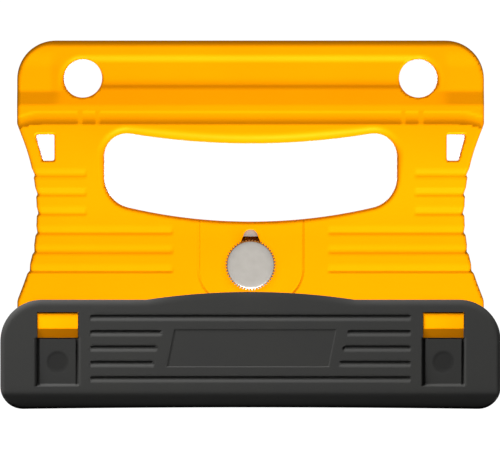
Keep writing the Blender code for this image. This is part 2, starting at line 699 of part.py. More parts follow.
def make_guide(steel, zinc):
    """The slotted guide plate behind the front wall and its two countersunk screws."""
    half = TONGUE_WIDTH / 2
    top = KNOB_Y + TONGUE_END + TRAVEL
    foot = KNOB_Y - GUIDE_BELOW_KNOB
    screw_y = KNOB_Y - GUIDE_SCREW_BELOW_KNOB
    outline = rectangle(-half, half, foot, top, CARRIAGE_CORNER)
    way_half = SLOT_WIDTH / 2 + GUIDE_WAY_SIDE
    way_end = STUD_DIAMETER / 2 + RUN_GAP
    way = rectangle(-way_half, way_half, KNOB_Y - way_end, KNOB_Y + TRAVEL + way_end, GUIDE_WAY_CORNER)
    guide = plate("guide_plate", [outline, way], GUIDE_Z, GUIDE_Z + GUIDE_THICK, parts)
    head = GUIDE_SCREW_HEAD / 2
    shank = GUIDE_SCREW_SHANK / 2
    tip = GUIDE_Z + GUIDE_SCREW_LENGTH
    for side, name in ((-1, "guide_screw_left"), (1, "guide_screw_right")):
        cone_top = GUIDE_Z + head - shank
        body = [(0, tip), (shank, tip), (shank, cone_top), (head, GUIDE_Z), (0, GUIDE_Z)]
        wide = head + HOLE_GAP + BEYOND
        seat = [
            (0, tip),
            (shank + HOLE_GAP, tip),
            (shank + HOLE_GAP, cone_top),
            (wide, GUIDE_Z - BEYOND),
            (0, GUIDE_Z - BEYOND),
        ]
        place = Vector((side * GUIDE_SCREW_SPACING / 2, screw_y, 0.0))
        screw = turned(name, body, BORE_STEPS, parts)
        sink = turned(f"guide_sink_{side}", seat, BORE_STEPS)
        for obj in (screw, sink):
            obj.data.transform(Matrix.Translation(place))
        join(guide, [sink])
        finish(screw, zinc, (place.x, place.y, GUIDE_Z))
    finish(guide, steel)


def make_carriage(steel, zinc, blade_steel):
    """The sliding carriage, its nut, the blade and the two studs that carry the blade."""
    bar_half = CARRIAGE_WIDTH / 2
    tongue_half = TONGUE_WIDTH / 2
    right = [
        (bar_half, CARRIAGE_BAR_FOOT_Y, CARRIAGE_CORNER),
        (bar_half, CARRIAGE_BAR_TOP_Y, CARRIAGE_CORNER),
        (tongue_half, CARRIAGE_BAR_TOP_Y, CARRIAGE_CORNER),
        (tongue_half, KNOB_Y + TONGUE_END, CARRIAGE_CORNER),
    ]
    outline = rounded(right + [(-x, y, radius) for x, y, radius in reversed(right)])
    stud_y = BLADE_TOP_Y - BLADE_STUD_FROM_TOP
    stud_bore = BLADE_STUD_DIAMETER + 2 * HOLE_GAP
    stud_x = bar_half - BLADE_STUD_INSET
    eyes = [circle(side * stud_x, stud_y, stud_bore) for side in (-1, 1)]
    clamp_bore = circle(0, KNOB_Y, STUD_DIAMETER + 2 * HOLE_GAP)
    carriage_front = CARRIAGE_Z + CARRIAGE_THICK
    carriage = plate("blade_carriage", [outline, clamp_bore, *eyes], CARRIAGE_Z, carriage_front, parts)
    finish(carriage, steel)

    front = BLADE_Z + BLADE_THICK
    middle = BLADE_Z + BLADE_THICK / 2
    thin = BLADE_EDGE_THICK / 2
    section = [
        (BLADE_EDGE_Y, middle - thin),
        (BLADE_EDGE_Y + BLADE_BEVEL, BLADE_Z),
        (BLADE_TOP_Y, BLADE_Z),
        (BLADE_TOP_Y, front),
        (BLADE_EDGE_Y + BLADE_BEVEL, front),
        (BLADE_EDGE_Y, middle + thin),
    ]
    blade = bar("blade", section, -BLADE_WIDTH / 2, BLADE_WIDTH / 2, parts)
    for i, eye in enumerate(eyes):
        join(blade, [plate(f"blade_eye_{i}", [eye], BLADE_Z - BEYOND, front + BEYOND)])
    finish(blade, blade_steel)

    shank = BLADE_STUD_DIAMETER / 2
    head = BLADE_STUD_HEAD / 2
    seat = carriage_front + HOLE_GAP
    crown = seat + BLADE_STUD_HEAD_THICK
    profile = [(0, crown), (head, crown), (head, seat), (shank, seat), (shank, BLADE_Z), (0, BLADE_Z)]
    for side, name in ((-1, "blade_stud_left"), (1, "blade_stud_right")):
        stud = turned(name, profile, BORE_STEPS, parts)
        place = Vector((side * stud_x, stud_y, 0.0))
        stud.data.transform(Matrix.Translation(place))
        finish(stud, zinc, (place.x, place.y, seat))

    hexagon = circle(0, KNOB_Y, 2 * NUT_FLATS / math.sqrt(3), NUT_SIDES)
    nut = plate("carriage_nut", [hexagon, clamp_bore], NUT_Z, NUT_Z + NUT_THICK, parts)
    finish(nut, zinc)


def make_clamp(nickel, zinc):
    """The knurled knob, its stud and the washer under it."""
    radius = KNOB_DIAMETER / 2
    top = KNOB_Z + KNOB_THICK
    chamfer = KNOB_CHAMFER
    bore = STUD_DIAMETER / 2 + HOLE_GAP
    bore_top = KNOB_Z + STUD_IN_KNOB + FIT_GAP
    profile = [
        (0, top),
        (radius - chamfer, top),
        (radius, top - chamfer),
        (radius, KNOB_Z + chamfer),
        (radius - chamfer, KNOB_Z),
        (bore, KNOB_Z),
        (bore, bore_top),
        (0, bore_top),
    ]
    teeth = []
    for i in range(2 * KNURL_TEETH):
        angle = math.pi * i / KNURL_TEETH
        reach = radius if i % 2 else radius - KNURL_DEPTH
        teeth.append((reach * math.cos(angle), reach * math.sin(angle)))
    knob = plate("clamp_knob", [teeth], KNOB_Z - BEYOND, top + BEYOND, parts)
    blank = turned("knob_blank", profile, 2 * ROUND_STEPS)
    join(knob, [blank], "INTERSECT")
    axis = Matrix.Translation((0.0, KNOB_Y, 0.0))
    for obj in (knob, blank):
        obj.data.transform(axis)
    finish(knob, nickel)

    tip = NUT_Z + HOLE_GAP
    shank = STUD_DIAMETER / 2
    stud_top = KNOB_Z + STUD_IN_KNOB
    end = shank - KNOB_CHAMFER
    rod = [(0, stud_top), (shank, stud_top), (shank, tip + KNOB_CHAMFER), (end, tip), (0, tip)]
    stud = turned("clamp_stud", rod, BORE_STEPS, parts)
    stud.data.transform(axis)
    finish(stud, zinc, (0.0, KNOB_Y, KNOB_Z))

    outer = WASHER_DIAMETER / 2
    inner = STUD_DIAMETER / 2 + HOLE_GAP
    washer_top = WASHER_Z + WASHER_THICK
    ring = [(inner, washer_top), (outer, washer_top), (outer, WASHER_Z), (inner, WASHER_Z)]
    washer = turned("clamp_washer", ring, ROUND_STEPS, parts, ring=True)
    washer.data.transform(axis)
    finish(washer, zinc, (0.0, KNOB_Y, WASHER_Z))


def make_screws(zinc):
    """The six screws that hold the shells together."""
    shank = SHELL_SCREW_SHANK / 2
    head = SHELL_SCREW_HEAD / 2
    seat = SHELL_SCREW_SINK + SHELL_SCREW_HEAD_THICK
    tip = SHELL_SCREW_SINK + SHELL_SCREW_LENGTH
    profile = [(0, tip), (shank, tip), (shank, seat)]
    profile += [(head, seat), (head, SHELL_SCREW_SINK), (0, SHELL_SCREW_SINK)]
    for i, (x, y) in enumerate(shell_screw_places()):
        screw = turned(f"shell_screw_{i + 1}", profile, BORE_STEPS, parts)
        screw.data.transform(Matrix.Translation((x, y, 0.0)))
        finish(screw, zinc, (x, y, SHELL_SCREW_SINK))


def cover_outline():
    """The cover seen from the front, with a low hump in its top edge."""
    hump = COVER_HUMP_WIDTH / 2
    bow = (hump**2 + COVER_HUMP_RISE**2) / (2 * COVER_HUMP_RISE)
    lean = math.degrees(math.asin(hump / bow))
    top = arc((0, COVER_TOP_Y + COVER_HUMP_RISE - bow), bow, UP - lean, UP + lean, RELIEF_STEPS)
    right_foot = (COVER_HALF - COVER_FOOT_CORNER, FOOT_Y + COVER_FOOT_CORNER)
    right_top = (COVER_HALF - COVER_TOP_CORNER, COVER_TOP_Y - COVER_TOP_CORNER)
    right = arc(right_foot, COVER_FOOT_CORNER, DOWN, ROUND, OUTLINE_STEPS)
    right += arc(right_top, COVER_TOP_CORNER, RIGHT, UP, OUTLINE_STEPS)
    return right + top + mirrored(right)


def line_outlines():
    """Finger lines on the cover; the inner ones stop short of a plain slanted field."""
    made = []
    half = LINES_WIDTH / 2
    radius = LINE_HEIGHT / 2 * LINE_END_ROUND
    for i in range(LINE_COUNT):
        y = COVER_TOP_Y - LINE_FIRST - i * LINE_PITCH
        y0 = y - LINE_HEIGHT / 2
        y1 = y + LINE_HEIGHT / 2
        if i in (0, LINE_COUNT - 1):
            made.append(rectangle(-half, half, y0, y1, radius))
            continue
        shift = FIELD_SLANT * LINE_PITCH * ((LINE_COUNT - 1) / 2 - i)
        made.append(rectangle(-half, -FIELD_WIDTH / 2 + shift, y0, y1, radius))
        made.append(rectangle(FIELD_WIDTH / 2 + shift, half, y0, y1, radius))
    return made


def make_cover(black):
    """The blade cover: a flat sleeve with finger lines, latch windows and finger pockets."""
    cover = plate("blade_cover", [cover_outline()], 0.0, COVER_FRONT_Z, parts, COVER_RIM_ROUND)
    floor = FOOT_Y + COVER_FLOOR
    inner = COVER_INNER_HALF
    sleeve = [(-inner, floor, HOUSING_CORNER), (inner, floor, HOUSING_CORNER)]
    above_top = COVER_TOP_Y + COVER_HUMP_RISE + BEYOND
    sleeve += [(inner, above_top, 0), (-inner, above_top, 0)]
    wide = COVER_HALF + BEYOND
    slope = FOOT_Y + COVER_FOOT_SLOPE
    outer = FOOT_Y - BEYOND
    lift = BEYOND * COVER_FOOT_CUT / COVER_FOOT_SLOPE
    front_cut = [
        (slope + BEYOND, COVER_FRONT_Z + lift),
        (outer, COVER_FRONT_Z - COVER_FOOT_CUT - lift),
        (outer, COVER_FRONT_Z + lift),
    ]
    back_cut = [(y, COVER_FRONT_Z - z) for y, z in reversed(front_cut)]
    back_edge = rectangle(-wide, wide, COVER_TOP_Y, above_top)
    tools = [
        plate("sleeve", [rounded(sleeve)], COVER_BACK_WALL, COVER_INNER_Z),
        plate("straight_back_edge", [back_edge], -BEYOND, COVER_INNER_Z),
        bar("foot_front", front_cut, -wide, wide),
        bar("foot_back", back_cut, -wide, wide),
    ]
    above = COVER_FRONT_Z + BEYOND
    for i, outline in enumerate(line_outlines()):
        tools.append(plate(f"line_{i}", [outline], COVER_FRONT_Z - LINE_DEPTH, above))
    window_top = COVER_TOP_Y - WINDOW_BELOW_TOP
    window_foot = window_top - WINDOW_HEIGHT
    pocket_foot = window_foot - POCKET_HEIGHT
    floor_z = COVER_FRONT_Z - POCKET_DEPTH
    for side in (-1, 1):
        x0 = side * WINDOW_CENTRE - WINDOW_WIDTH / 2
        x1 = side * WINDOW_CENTRE + WINDOW_WIDTH / 2
        dimple_y = (window_foot + pocket_foot) / 2
        window = rectangle(x0, x1, window_foot, window_top)
        pocket = rectangle(x0, x1, pocket_foot, window_foot + BEYOND)
        dimple = circle(side * WINDOW_CENTRE, dimple_y, DIMPLE_DIAMETER)
        tools.append(plate(f"window_{side}", [window], COVER_INNER_Z - BEYOND, above))
        tools.append(plate(f"pocket_{side}", [pocket], floor_z, above))
        tools.append(plate(f"dimple_{side}", [dimple], floor_z - DIMPLE_DEPTH, above))
    join(cover, tools)
    finish(cover, black)


def build():
    clear_scene()
    yellow = material("yellow_plastic", (0.99, 0.49, 0.005), 0.4)
    black = material("black_plastic", (0.035, 0.035, 0.035), 0.5)
    steel = material("plated_steel", (0.55, 0.54, 0.52), 0.35, 1.0)
    blade_steel = material("blade_steel", (0.6, 0.61, 0.63), 0.25, 1.0)
    zinc = material("zinc_plated", (0.6, 0.6, 0.58), 0.3, 1.0)
    nickel = material("nickel_plated", (0.66, 0.64, 0.6), 0.25, 1.0)
    make_shells(yellow)
    make_latches(yellow)
    make_guide(steel, zinc)
    make_carriage(steel, zinc, blade_steel)
    make_clamp(nickel, zinc)
    make_screws(zinc)
    make_cover(black)


build()
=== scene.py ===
import json
import math

import bpy
import numpy as np
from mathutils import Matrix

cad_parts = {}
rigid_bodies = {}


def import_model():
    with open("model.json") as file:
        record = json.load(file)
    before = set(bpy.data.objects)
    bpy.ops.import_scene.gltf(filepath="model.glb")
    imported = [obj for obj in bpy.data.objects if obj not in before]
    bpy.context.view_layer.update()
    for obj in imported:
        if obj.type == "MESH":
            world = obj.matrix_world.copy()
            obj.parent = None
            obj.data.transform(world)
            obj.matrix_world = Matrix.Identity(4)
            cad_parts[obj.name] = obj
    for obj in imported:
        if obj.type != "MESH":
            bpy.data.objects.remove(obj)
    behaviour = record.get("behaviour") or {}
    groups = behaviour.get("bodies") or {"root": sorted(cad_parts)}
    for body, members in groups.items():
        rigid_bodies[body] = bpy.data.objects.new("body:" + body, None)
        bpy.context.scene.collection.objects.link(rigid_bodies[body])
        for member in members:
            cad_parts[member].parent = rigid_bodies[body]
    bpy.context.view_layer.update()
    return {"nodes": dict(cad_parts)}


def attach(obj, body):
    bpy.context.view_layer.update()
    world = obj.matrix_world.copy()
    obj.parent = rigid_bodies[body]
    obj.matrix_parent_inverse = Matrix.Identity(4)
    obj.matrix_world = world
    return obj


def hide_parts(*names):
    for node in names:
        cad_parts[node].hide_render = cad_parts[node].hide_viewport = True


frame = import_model()
nodes = frame["nodes"]

# Rear shell: the half of the handle that lies down, injection moulded in yellow ABS.
# It shares its outline, finger opening and holes with the front half, carries the back of
# the blade chamber, and is held on by six screws that sink into its back. Sizes are in mm.
BODY_HALF, FOOT_Y, TOP_Y = 89.7, -57.5, 70.6
WAIST_Y, WAIST_DEPTH, WAIST_R, SHOULDER_Y, FLARE_Y = 4.65, 13.0, 77.5, 38.6, -29.3
FOOT_R, FLARE_R, SHOULDER_R, GRIP_R = 4, 6, 2, 14.8
OPEN_HALF, LIP_Y, SILL_Y = 56.4, 31.1, 1.0
LIP_BOW, LIP_CORNER, SILL_BOW, SILL_CORNER = 285.0, 8.8, 207.0, 12.0
HANG_X, HANG_Y, HANG_R = 64.5, 56.1, 7.45
LANYARD_CORNERS, LANYARD_R = [(75.3, 24.4), (80.0, 24.4), (82.8, 34.6), (75.3, 34.6)], 0.8
KNOB_Y = -15.6
GROOVE_ROWS = 18.6 - 7.36 * np.arange(6)
GROOVE_LOW, GROOVE_DEEP, GROOVE_HIGH, GROOVE_NOTCH = -0.8, 0.3, 2.9, 0.6
BACK_GROOVE_X, BACK_GROOVE_RUN, BACK_GROOVE_DEPTH = 62.9, 1.5, 0.5
CAVITY_HALF, CAVITY_ROOF, CHANNEL_HALF, CHANNEL_TOP, CHANNEL_RELIEF = 85.4, -27.6, 12.9, -1.6, 2
SCREWS, SINK_R = np.array([(42.0, 55.6), (66.0, 27.0), (35.0, KNOB_Y)]), 3.5
BACK_STEP_Y, BACK_STEP_Z, BACK_STEP_RUN, CAVITY_BACK, REAR_TOP = -28.7, 2.3, 0.02, 5.4, 7.5
EDGE_R, GRIP_EDGE_R, GRIP_EDGE_Y, GRIP_EDGE_RUN, HOLE_EDGE_R = 1.4, 1.4, 45, 15, 0.6
SILL_BACK_R, LIP_BACK_R, LIP_BACK_Y, LIP_BACK_RUN, LANYARD_BACK_R = 1.2, 1.6, 15, 14, 0.5
REAR_PITCH = 0.9


def smooth(t):
    """An S-shaped ramp from 0 to 1 with level ends: 3 t squared minus 2 t cubed, held outside."""
    t = np.clip(t, 0.0, 1.0)
    return t * t * (3.0 - 2.0 * t)


def arc(cx, cy, radius, start, end, steps):
    """Points at even angles, in degrees, on an arc about a centre."""
    a = np.radians(np.linspace(start, end, steps + 1))
    return np.stack([cx + radius * np.cos(a), cy + radius * np.sin(a)], 1)


def rounded(corners, steps=14, closed=True):
    """A path through (x, y, radius) corners. Each corner becomes a tangent arc whose centre is on
    the corner's bisector, radius over sine of the half angle away; an open path keeps its ends."""
    c = np.array(corners, float)
    here, radius = c[:, :2], c[:, 2:]
    back, ahead = np.roll(here, 1, 0) - here, np.roll(here, -1, 0) - here
    back /= np.linalg.norm(back, axis=1, keepdims=True)
    ahead /= np.linalg.norm(ahead, axis=1, keepdims=True)
    half = np.arccos(np.clip((back * ahead).sum(1, keepdims=True), -1, 1)) / 2
    bisector = back + ahead
    bisector /= np.maximum(np.linalg.norm(bisector, axis=1, keepdims=True), 1e-9)
    middle = here + bisector * radius / np.sin(half)
    first = here + back * radius / np.tan(half) - middle
    last = here + ahead * radius / np.tan(half) - middle
    turn = np.arctan2(first[:, 0] * last[:, 1] - first[:, 1] * last[:, 0], (first * last).sum(1))
    a = turn[:, None] * np.linspace(0, 1, steps + 1)
    cos, sin = np.cos(a), np.sin(a)
    spun = np.stack([first[:, :1] * cos - first[:, 1:] * sin, first[:, :1] * sin + first[:, 1:] * cos], 2)
    path = (middle[:, None] + spun).reshape(-1, 2)
    if not closed:
        path = np.concatenate([here[:1], path[steps + 1 : -steps - 1], here[-1:]])
    return path


def edge_distance(x, y, path):
    """Signed distance to a path, negative inside it: the least distance to its straight steps, with
    the sign from how many steps a ray along +X crosses. Half a symmetric outline serves for |x|."""
    a, b = path[:-1], path[1:]
    keep = np.hypot(*(b - a).T) > 1e-6
    a, b = a[keep], b[keep]
    p = np.stack([np.ravel(x), np.ravel(y)], 1)
    found, at_once = [], 1500000
    for block in np.array_split(p, 1 + len(p) * len(a) // at_once):
        to, along = block[:, None] - a, (b - a)[None]
        t = np.clip((to * along).sum(2) / (along**2).sum(2), 0, 1)
        least = np.sqrt(((to - t[..., None] * along) ** 2).sum(2).min(1))
        px, py = block[:, :1], block[:, 1:]
        spans = (a[:, 1] > py) != (b[:, 1] > py)
        rise = np.where(np.abs(b[:, 1] - a[:, 1]) < 1e-12, 1.0, b[:, 1] - a[:, 1])
        crossed = spans & (px < a[:, 0] + (py - a[:, 1]) * (b[:, 0] - a[:, 0]) / rise)
        found.append(np.where(crossed.sum(1) % 2 == 1, -least, least))
    return np.concatenate(found).reshape(np.shape(x))


body_path = rounded([
    (0, FOOT_Y, 0), (BODY_HALF, FOOT_Y, FOOT_R), (BODY_HALF, FLARE_Y, FLARE_R),
    (BODY_HALF - WAIST_DEPTH, WAIST_Y, WAIST_R), (BODY_HALF, SHOULDER_Y, SHOULDER_R),
    (BODY_HALF, TOP_Y, GRIP_R), (0, TOP_Y, 0)], closed=False)
lip_lean = math.degrees(math.asin((OPEN_HALF - LIP_CORNER) / (LIP_BOW + LIP_CORNER)))
lip_y = LIP_Y + LIP_BOW - math.sqrt((LIP_BOW + LIP_CORNER) ** 2 - (OPEN_HALF - LIP_CORNER) ** 2)
sill_lean = math.degrees(math.asin((OPEN_HALF - SILL_CORNER) / (SILL_BOW - SILL_CORNER)))
sill_y = SILL_Y + SILL_BOW - math.sqrt((SILL_BOW - SILL_CORNER) ** 2 - (OPEN_HALF - SILL_CORNER) ** 2)
opening_path = np.concatenate([
    arc(0, SILL_Y + SILL_BOW, SILL_BOW, 270, 270 + sill_lean, 16),
    arc(OPEN_HALF - SILL_CORNER, sill_y, SILL_CORNER, 270 + sill_lean, 360, 16),
    arc(OPEN_HALF - LIP_CORNER, lip_y, LIP_CORNER, 0, 90 + lip_lean, 18),
    arc(0, LIP_Y + LIP_BOW, LIP_BOW, 270 + lip_lean, 270, 16)])
lanyard_path = rounded([(x, y, LANYARD_R) for x, y in LANYARD_CORNERS], 6)
lanyard_path = np.concatenate([lanyard_path, lanyard_path[:1]])


def sawtooth(y, rows):
    """Side grooves, 1 at their deepest. Down the handle each falls evenly over 2.6 mm to a line 0.3 mm
    above its row, and climbs back evenly in 1.1 mm."""
    return np.interp(y[..., None] - rows, [GROOVE_LOW, GROOVE_DEEP, GROOVE_HIGH], [0, 1, 0]).sum(-1)


def handle_edges(x, y):
    """Distances to the outline, opening, hanging hole and lanyard slot, negative in the plastic.
    The grooves notch the waisted part of the outline by 0.6 mm."""
    ax = np.abs(x)
    notch = GROOVE_NOTCH * sawtooth(y, GROOVE_ROWS)
    return np.stack([
        edge_distance(ax, y, body_path) + notch,
        -edge_distance(ax, y, opening_path),
        HANG_R - np.hypot(ax - HANG_X, y - HANG_Y),
        -edge_distance(ax, y, lanyard_path)])


def rounding(inward, radius):
    """How far a rounded edge falls: radius less the root of radius squared less the rest squared."""
    rest = np.clip(radius - inward, 0, radius)
    return radius - np.sqrt(np.maximum(radius**2 - rest**2, 0))


def ruled(low, high, pitch, exact=()):
    """Grid lines at an even pitch, with lines at exact places in the stead of those close to them."""
    exact = np.array([v for v in exact if low <= v <= high] + [low, high])
    even = np.arange(low, high, pitch)
    clear = np.abs(even[:, None] - exact).min(1) > 0.45 * pitch
    return np.unique(np.round(np.concatenate([even[clear], exact]), 4))


def cell_middles(gx, gy):
    """X and Y halfway between the opposite corners of each cell of a grid."""
    return (gx[1:, 1:] + gx[:-1, :-1]) / 2, (gy[1:, 1:] + gy[:-1, :-1]) / 2


def layered_solid(name, gx, gy, outline, heights, filled, outer):
    """A closed solid on a grid in X and Y. heights(x, y) gives each layer's Z, and filled lists, for
    each space between layers, which cells hold plastic. Nodes between cells inside and outside the
    outline move onto it, along the gradient of its distance. Faces stand where filled cells meet empty
    ones, and the layers in outer are shaded by the slope of their height."""
    gx, gy = gx.copy(), gy.copy()
    inside = outline(*cell_middles(gx, gy)) < 0
    around = np.pad(inside, 1)
    corners = np.stack([around[:-1, :-1], around[1:, :-1], around[:-1, 1:], around[1:, 1:]])
    rim = corners.any(0) & ~corners.all(0)
    step = 0.01
    for _ in range(3):
        rx, ry = gx[rim], gy[rim]
        d = outline(rx, ry)
        dx = (outline(rx + step, ry) - outline(rx - step, ry)) / (2 * step)
        dy = (outline(rx, ry + step) - outline(rx, ry - step)) / (2 * step)
        length = np.maximum(dx**2 + dy**2, 0.25)
        gx[rim] -= d * dx / length
        gy[rim] -= d * dy / length
    outward = np.zeros((*gx.shape, 3))
    outward[rim, 0], outward[rim, 1] = dx, dy
    z = heights(gx, gy)
    count = len(z)
    sx, sy = gx - 0.06 * outward[..., 0], gy - 0.06 * outward[..., 1]
    east, west = heights(sx + step, sy), heights(sx - step, sy)
    north, south = heights(sx, sy + step), heights(sx, sy - step)
    slope = np.stack([(west - east) / (2 * step), (south - north) / (2 * step), np.ones_like(z)], -1)
    index = np.arange(z.size).reshape(z.shape)
    cells = [f & inside for f in filled]
    empty = np.zeros_like(inside)
    quads, shades = [], []

    def put(corner_index, normals):
        quads.append(corner_index.reshape(-1, 4))
        shades.append(normals.reshape(-1, 4, 3))

    for k in range(count):
        below = cells[k - 1] if k else empty
        above = cells[k] if k < count - 1 else empty
        quad = np.stack([index[k, :-1, :-1], index[k, 1:, :-1], index[k, 1:, 1:], index[k, :-1, 1:]], -1)
        lit = slope[k] if k in outer else np.zeros_like(slope[k])
        lit = np.stack([lit[:-1, :-1], lit[1:, :-1], lit[1:, 1:], lit[:-1, 1:]], -2)
        up, down = below & ~above, above & ~below
        put(quad[up], lit[up])
        put(quad[down][:, ::-1], -lit[down][:, ::-1])
    for k in range(count - 1):
        held = np.pad(cells[k], 1)
        low, high = index[k], index[k + 1]
        wall = np.stack([low[:, :-1], low[:, 1:], high[:, 1:], high[:, :-1]], -1)
        side = np.stack([outward[:, :-1], outward[:, 1:], outward[:, 1:], outward[:, :-1]], -2)
        right, left = held[:-1, 1:-1] & ~held[1:, 1:-1], held[1:, 1:-1] & ~held[:-1, 1:-1]
        put(wall[right], side[right])
        put(wall[left][:, ::-1], side[left][:, ::-1])
        wall = np.stack([low[:-1], high[:-1], high[1:], low[1:]], -1)
        side = np.stack([outward[:-1], outward[:-1], outward[1:], outward[1:]], -2)
        top, foot = held[1:-1, :-1] & ~held[1:-1, 1:], held[1:-1, 1:] & ~held[1:-1, :-1]
        put(wall[top], side[top])
        put(wall[foot][:, ::-1], side[foot][:, ::-1])
    points = np.stack([np.broadcast_to(gx, z.shape), np.broadcast_to(gy, z.shape), z], -1).reshape(-1, 3)
    return mesh_object(name, points, np.concatenate(quads), np.concatenate(shades))


def mesh_object(name, points, faces, normals=None):
    """A smooth-shaded mesh object from points in mm and four-cornered faces, left at the origin.
    Points that no face uses are dropped, and edges over 35 degrees are sharp."""
    used, faces = np.unique(faces, return_inverse=True)
    faces = faces.reshape(-1, 4)
    mesh = bpy.data.meshes.new(name)
    mesh.vertices.add(len(used))
    mesh.vertices.foreach_set("co", (points[used] * 0.001).astype(np.float32).ravel())
    mesh.loops.add(faces.size)
    mesh.loops.foreach_set("vertex_index", faces.astype(np.int32).ravel())
    mesh.polygons.add(len(faces))
    mesh.polygons.foreach_set("loop_start", np.arange(0, faces.size, 4, dtype=np.int32))
    mesh.update(calc_edges=True)
    mesh.shade_smooth()
    mesh.set_sharp_from_angle(angle=math.radians(35))
    if normals is not None:
        normals = normals.reshape(-1, 3)
        length = np.linalg.norm(normals, axis=1, keepdims=True)
        mesh.normals_split_custom_set(normals / np.where(length > 1e-6, length, 1.0))
    obj = bpy.data.objects.new(name, mesh)
    bpy.context.scene.collection.objects.link(obj)
    return obj


def in_chamber(cx, cy):
    """Cells over the blade chamber: the wide blade bay and the carriage's channel above it, with the
    corner between them cut back for the fillets of the carriage."""
    bay = (np.abs(cx) < CAVITY_HALF) & (cy < CAVITY_ROOF)
    corner = (np.abs(cx) < CHANNEL_HALF + CHANNEL_RELIEF) & (cy < CAVITY_ROOF + CHANNEL_RELIEF)
    return bay | corner | ((np.abs(cx) < CHANNEL_HALF) & (cy < CHANNEL_TOP))


def rear_outline(x, y):
    """The handle's edges and the six screw sinks of 3.5 mm radius."""
    sinks = SINK_R - np.hypot(np.abs(x)[..., None] - SCREWS[:, 0], y[..., None] - SCREWS[:, 1]).min(-1)
    return np.maximum(handle_edges(x, y).max(0), sinks)


def rear_heights(x, y):
    """Back surface, chamber floor and parting plane. The back is level, steps up under the cover and
    has short side grooves. It rises at its edges as a quarter round: 1.4 mm, or 2.8 mm round the grip,
    1.2 mm at the opening's sill, growing to 2.8 mm at its lip, and less at the holes."""
    edges = -handle_edges(x, y)
    grip = smooth((y - GRIP_EDGE_Y) / GRIP_EDGE_RUN)
    lip = SILL_BACK_R + LIP_BACK_R * smooth((y - LIP_BACK_Y) / LIP_BACK_RUN)
    grooves = sawtooth(y, GROOVE_ROWS) * smooth((np.abs(x) - BACK_GROOVE_X) / BACK_GROOVE_RUN)
    back = np.where(y < BACK_STEP_Y, BACK_STEP_Z, 0.0) + BACK_GROOVE_DEPTH * grooves
    fall = np.stack([
        rounding(edges[0], EDGE_R + GRIP_EDGE_R * grip), rounding(edges[1], lip),
        rounding(edges[2], HOLE_EDGE_R), rounding(edges[3], LANYARD_BACK_R)]).max(0)
    return np.stack([back + fall, np.full_like(x, CAVITY_BACK), np.full_like(x, REAR_TOP)])


def both_sides(values):
    """The same places left and right of the middle."""
    return [s * v for s in (-1, 1) for v in values]


groove_lines = (GROOVE_ROWS[:, None] + [GROOVE_LOW, -0.25, GROOVE_DEEP, GROOVE_HIGH]).ravel()
chamber_xs = (CAVITY_HALF, CHANNEL_HALF, CHANNEL_HALF + CHANNEL_RELIEF)
chamber_ys = (CAVITY_ROOF, CAVITY_ROOF + CHANNEL_RELIEF, CHANNEL_TOP)
rear_xs = ruled(-BODY_HALF, BODY_HALF, REAR_PITCH, both_sides([*chamber_xs, BACK_GROOVE_X]))
rear_ys = ruled(FOOT_Y, TOP_Y, REAR_PITCH, [
    *chamber_ys, BACK_STEP_Y, BACK_STEP_Y - BACK_STEP_RUN, *groove_lines])
rear_grid = np.meshgrid(rear_xs, rear_ys, indexing="ij")
chamber = in_chamber(*cell_middles(*rear_grid))
rear_shell = layered_solid(
    "rear_shell_moulding", *rear_grid, rear_outline, rear_heights,
    [np.ones_like(chamber), ~chamber], outer=(0,))


def linear(code):
    """An sRGB hex colour as linear red, green, blue and alpha."""
    c = np.array([int(code[i : i + 2], 16) / 255 for i in (1, 3, 5)])
    c = np.where(c <= 0.04045, c / 12.92, ((c + 0.055) / 1.055) ** 2.4)
    return (*c, 1.0)


def add(tree, kind, inputs, **settings):
    """Add one node: settings are its own values, and inputs give each socket a value or a link."""
    node = tree.nodes.new(kind)
    for key, value in settings.items():
        setattr(node, key, value)
    for key, value in inputs.items():
        if isinstance(value, bpy.types.NodeSocket):
            tree.links.new(value, node.inputs[key])
        else:
            node.inputs[key].default_value = value
    return node


def new_material(name):
    """An empty node material with its Principled shader and the piece's own coordinates in metres."""
    made = bpy.data.materials.new(name)
    made.use_nodes = True
    tree = made.node_tree
    place = add(tree, "ShaderNodeTexCoord", {})
    return made, tree, tree.nodes["Principled BSDF"], place.outputs["Object"]


# Yellow ABS, injection moulded against a finely spark-eroded tool: satin, with a fine even grain
# and slow changes of depth in the colour. The grain of about 0.1 mm is drawn at 0.5 mm to show.
yellow_abs, tree, shader, place = new_material("moulded_yellow_abs")
drift = add(tree, "ShaderNodeTexNoise", {"Vector": place, "Scale": 1000 / 25, "Detail": 2.0})
tone = add(tree, "ShaderNodeMix", {
    "Factor": drift.outputs["Fac"], "A": linear("#f39100"), "B": linear("#f39700")}, data_type="RGBA")
grain = add(tree, "ShaderNodeTexNoise", {"Vector": place, "Scale": 1000 / 0.5, "Detail": 1.0})
gloss = add(tree, "ShaderNodeTexNoise", {"Vector": place, "Scale": 1000 / 4, "Detail": 3.0})
rough = add(tree, "ShaderNodeMapRange", {"Value": gloss.outputs["Fac"], "To Min": 0.36, "To Max": 0.46})
relief = add(tree, "ShaderNodeBump", {"Height": grain.outputs["Fac"], "Strength": 0.12, "Distance": 0.0001})
tree.links.new(tone.outputs["Result"], shader.inputs["Base Color"])
tree.links.new(rough.outputs["Result"], shader.inputs["Roughness"])
tree.links.new(relief.outputs["Normal"], shader.inputs["Normal"])
shader.inputs["IOR"].default_value = 1.53
shader.inputs["Specular IOR Level"].default_value = 0.35
shader.inputs["Specular Tint"].default_value = linear("#ffc000")

rear_shell.data.materials.append(yellow_abs)
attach(rear_shell, "handle")
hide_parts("rear_shell")

# Blade: a wide strip of hardened carbon steel, ground on both faces and honed to one bevelled edge.
# It lies in the chamber on two studs. The grinding lines run across the strip.
BEVEL_Y = -61.6

